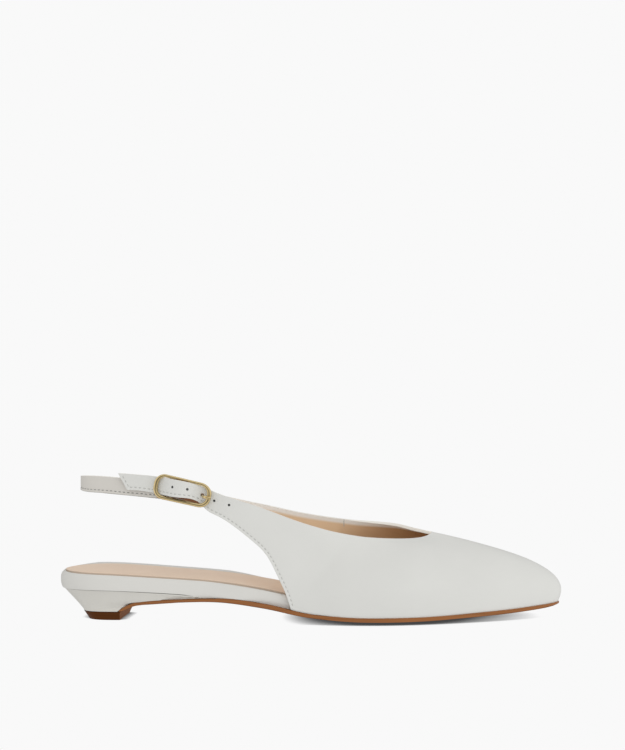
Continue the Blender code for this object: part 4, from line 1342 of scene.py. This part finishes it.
CAMERA_PLACE = (0.0, -0.950, 0.1267)
CAMERA_LENS = 86.9
BACKDROP_LEVEL = 0.947
FLOOR_SIZE = 30.0
SHADOW_REACH = 0.006  # how far the floor looks for something above it
SHADOW_LEAN = (-0.28, -0.72, 0.63)  # which way it looks
SHADOW_DEPTH = 0.06  # brightness of the floor where it is covered
SHADOW_RUN = (0.36, 0.78)  # open share where the shadow is full, and where it ends
# Studio light all round: where it is strongest, on both sides alike, and its level opposite and there
SKY_FROM = (0.30, 0.84, 0.05)
SKY_LEVELS = (0.29, 1.12)
# What gloss sees to the sides and above, and straight ahead and behind, and the shares of a direction along
# the line ahead between which the one turns into the other
GLOSS_LEVELS = (1.25, 0.25)
GLOSS_RUN = (0.35, 0.95)
# Soft sun: strength, height and turn in degrees from straight ahead of the lateral side, spread
SUN_STRENGTH = 0.25
SUN_HEIGHT = 18.0
SUN_TURN = 15.0
SUN_SPREAD = 60.0


class SHOE_OT_stage(bpy.types.Operator):
    """Set the pale floor, the soft light and the camera"""

    bl_idname = "shoe.stage"
    bl_label = "Stage"

    def execute(self, context):
        start_clean()
        bpy.ops.mesh.primitive_plane_add(size=FLOOR_SIZE)
        floor = context.active_object
        floor.name = "studio_floor"
        # the floor glows evenly and its shadow is painted: the glow is dimmed where ambient occlusion finds
        # the shoe close above
        made, tree, shader = shader_of("pale_floor")
        lean = node(tree, "ShaderNodeCombineXYZ", **dict(zip("XYZ", SHADOW_LEAN))).outputs[0]
        near = node(tree, "ShaderNodeAmbientOcclusion", Distance=SHADOW_REACH, Normal=lean, samples=32)
        open_share = ranged(tree, near.outputs["AO"], SHADOW_DEPTH, 1.0, *SHADOW_RUN)
        given(shader, Base_Color=(0.0, 0.0, 0.0), Roughness=1.0, Specular_IOR_Level=0.0,
              Emission_Color=context.scene.shoe_colours.floor, Emission_Strength=open_share)
        finished_with(floor, made)
        floor.visible_diffuse = floor.visible_glossy = False
        aim = (math.radians(90 - SUN_HEIGHT), 0.0, math.radians(SUN_TURN))
        bpy.ops.object.light_add(type="SUN", location=(0.0, -1.0, 1.0), rotation=aim)
        lamp = context.active_object
        lamp.name = "front_light"
        lamp.data.energy = SUN_STRENGTH
        lamp.data.angle = math.radians(SUN_SPREAD)
        self.sky(context.scene)
        bpy.ops.object.camera_add(location=CAMERA_PLACE, rotation=(math.pi / 2, 0.0, 0.0))
        camera = context.active_object
        camera.name = "camera"
        camera.data.lens = CAMERA_LENS
        context.scene.camera = camera
        context.scene.view_settings.view_transform = "Standard"
        return {"FINISHED"}

    def sky(self, scene):
        """Soft light from both sides, above and ahead, in front of a plain backdrop."""
        scene.world = bpy.data.worlds.new("studio")
        scene.world.use_nodes = True
        tree = scene.world.node_tree
        place = node(tree, "ShaderNodeTexCoord").outputs["Generated"]
        parts = node(tree, "ShaderNodeSeparateXYZ", Vector=place).outputs
        either_side = node(tree, "ShaderNodeMath", operation="ABSOLUTE", Value=parts["Y"]).outputs[0]
        folded = node(tree, "ShaderNodeCombineXYZ", X=parts["X"], Y=either_side, Z=parts["Z"]).outputs[0]
        facing = node(tree, "ShaderNodeVectorMath", operation="DOT_PRODUCT", Vector=folded)
        facing.inputs[1].default_value = Vector(SKY_FROM).normalized()
        path = node(tree, "ShaderNodeLightPath")
        light = tree.nodes["Background"]
        fed(light.inputs["Strength"], ranged(tree, facing.outputs["Value"], *SKY_LEVELS, -1.0, 1.0))
        glossy = ranged(tree, either_side, *GLOSS_LEVELS, *GLOSS_RUN)
        gloss = node(tree, "ShaderNodeBackground", Strength=glossy)
        backdrop = node(tree, "ShaderNodeBackground", Strength=BACKDROP_LEVEL)
        shown = light.outputs[0]
        for name, other in (("Is Glossy Ray", gloss), ("Is Camera Ray", backdrop)):
            chosen = node(tree, "ShaderNodeMixShader")
            for place, value in enumerate((path.outputs[name], shown, other.outputs[0])):
                fed(chosen.inputs[place], value)
            shown = chosen.outputs[0]
        for background in (light, gloss, backdrop):
            given(background, Color=(1.0, 1.0, 1.0))
        fed(tree.nodes["World Output"].inputs["Surface"], shown)


MAKERS = (SHOE_OT_outsole, SHOE_OT_heel, SHOE_OT_footbed, SHOE_OT_insole, SHOE_OT_upper, SHOE_OT_sling,
          SHOE_OT_stitching, SHOE_OT_buckle, SHOE_OT_stage)


class SHOE_PT_sidebar(bpy.types.Panel):
    """Lists the shoe's pieces, sizes and colours"""

    bl_label = "Slingback Court Shoe"
    bl_space_type = "VIEW_3D"
    bl_region_type = "UI"
    bl_category = "Shoe"

    def draw(self, context):
        for maker in MAKERS:
            self.layout.operator(maker.bl_idname)
        for group in (context.scene.shoe_sizes, context.scene.shoe_colours):
            column = self.layout.column()
            for name in group.__annotations__:
                column.prop(group, name)


CLASSES = (ShoeSizes, ShoeColours, *MAKERS, SHOE_PT_sidebar)


def register():
    for made in CLASSES:
        bpy.utils.register_class(made)
    bpy.types.Scene.shoe_sizes = bpy.props.PointerProperty(type=ShoeSizes)
    bpy.types.Scene.shoe_colours = bpy.props.PointerProperty(type=ShoeColours)


def unregister():
    del bpy.types.Scene.shoe_colours
    del bpy.types.Scene.shoe_sizes
    for made in reversed(CLASSES):
        bpy.utils.unregister_class(made)


def main():
    register()
    bpy.ops.shoe.stage()
    bpy.ops.shoe.outsole()
    bpy.ops.shoe.heel()
    bpy.ops.shoe.footbed()
    bpy.ops.shoe.insole()
    bpy.ops.shoe.upper()
    bpy.ops.shoe.sling()
    bpy.ops.shoe.stitching()
    bpy.ops.shoe.buckle()


if __name__ == "__main__":
    main()
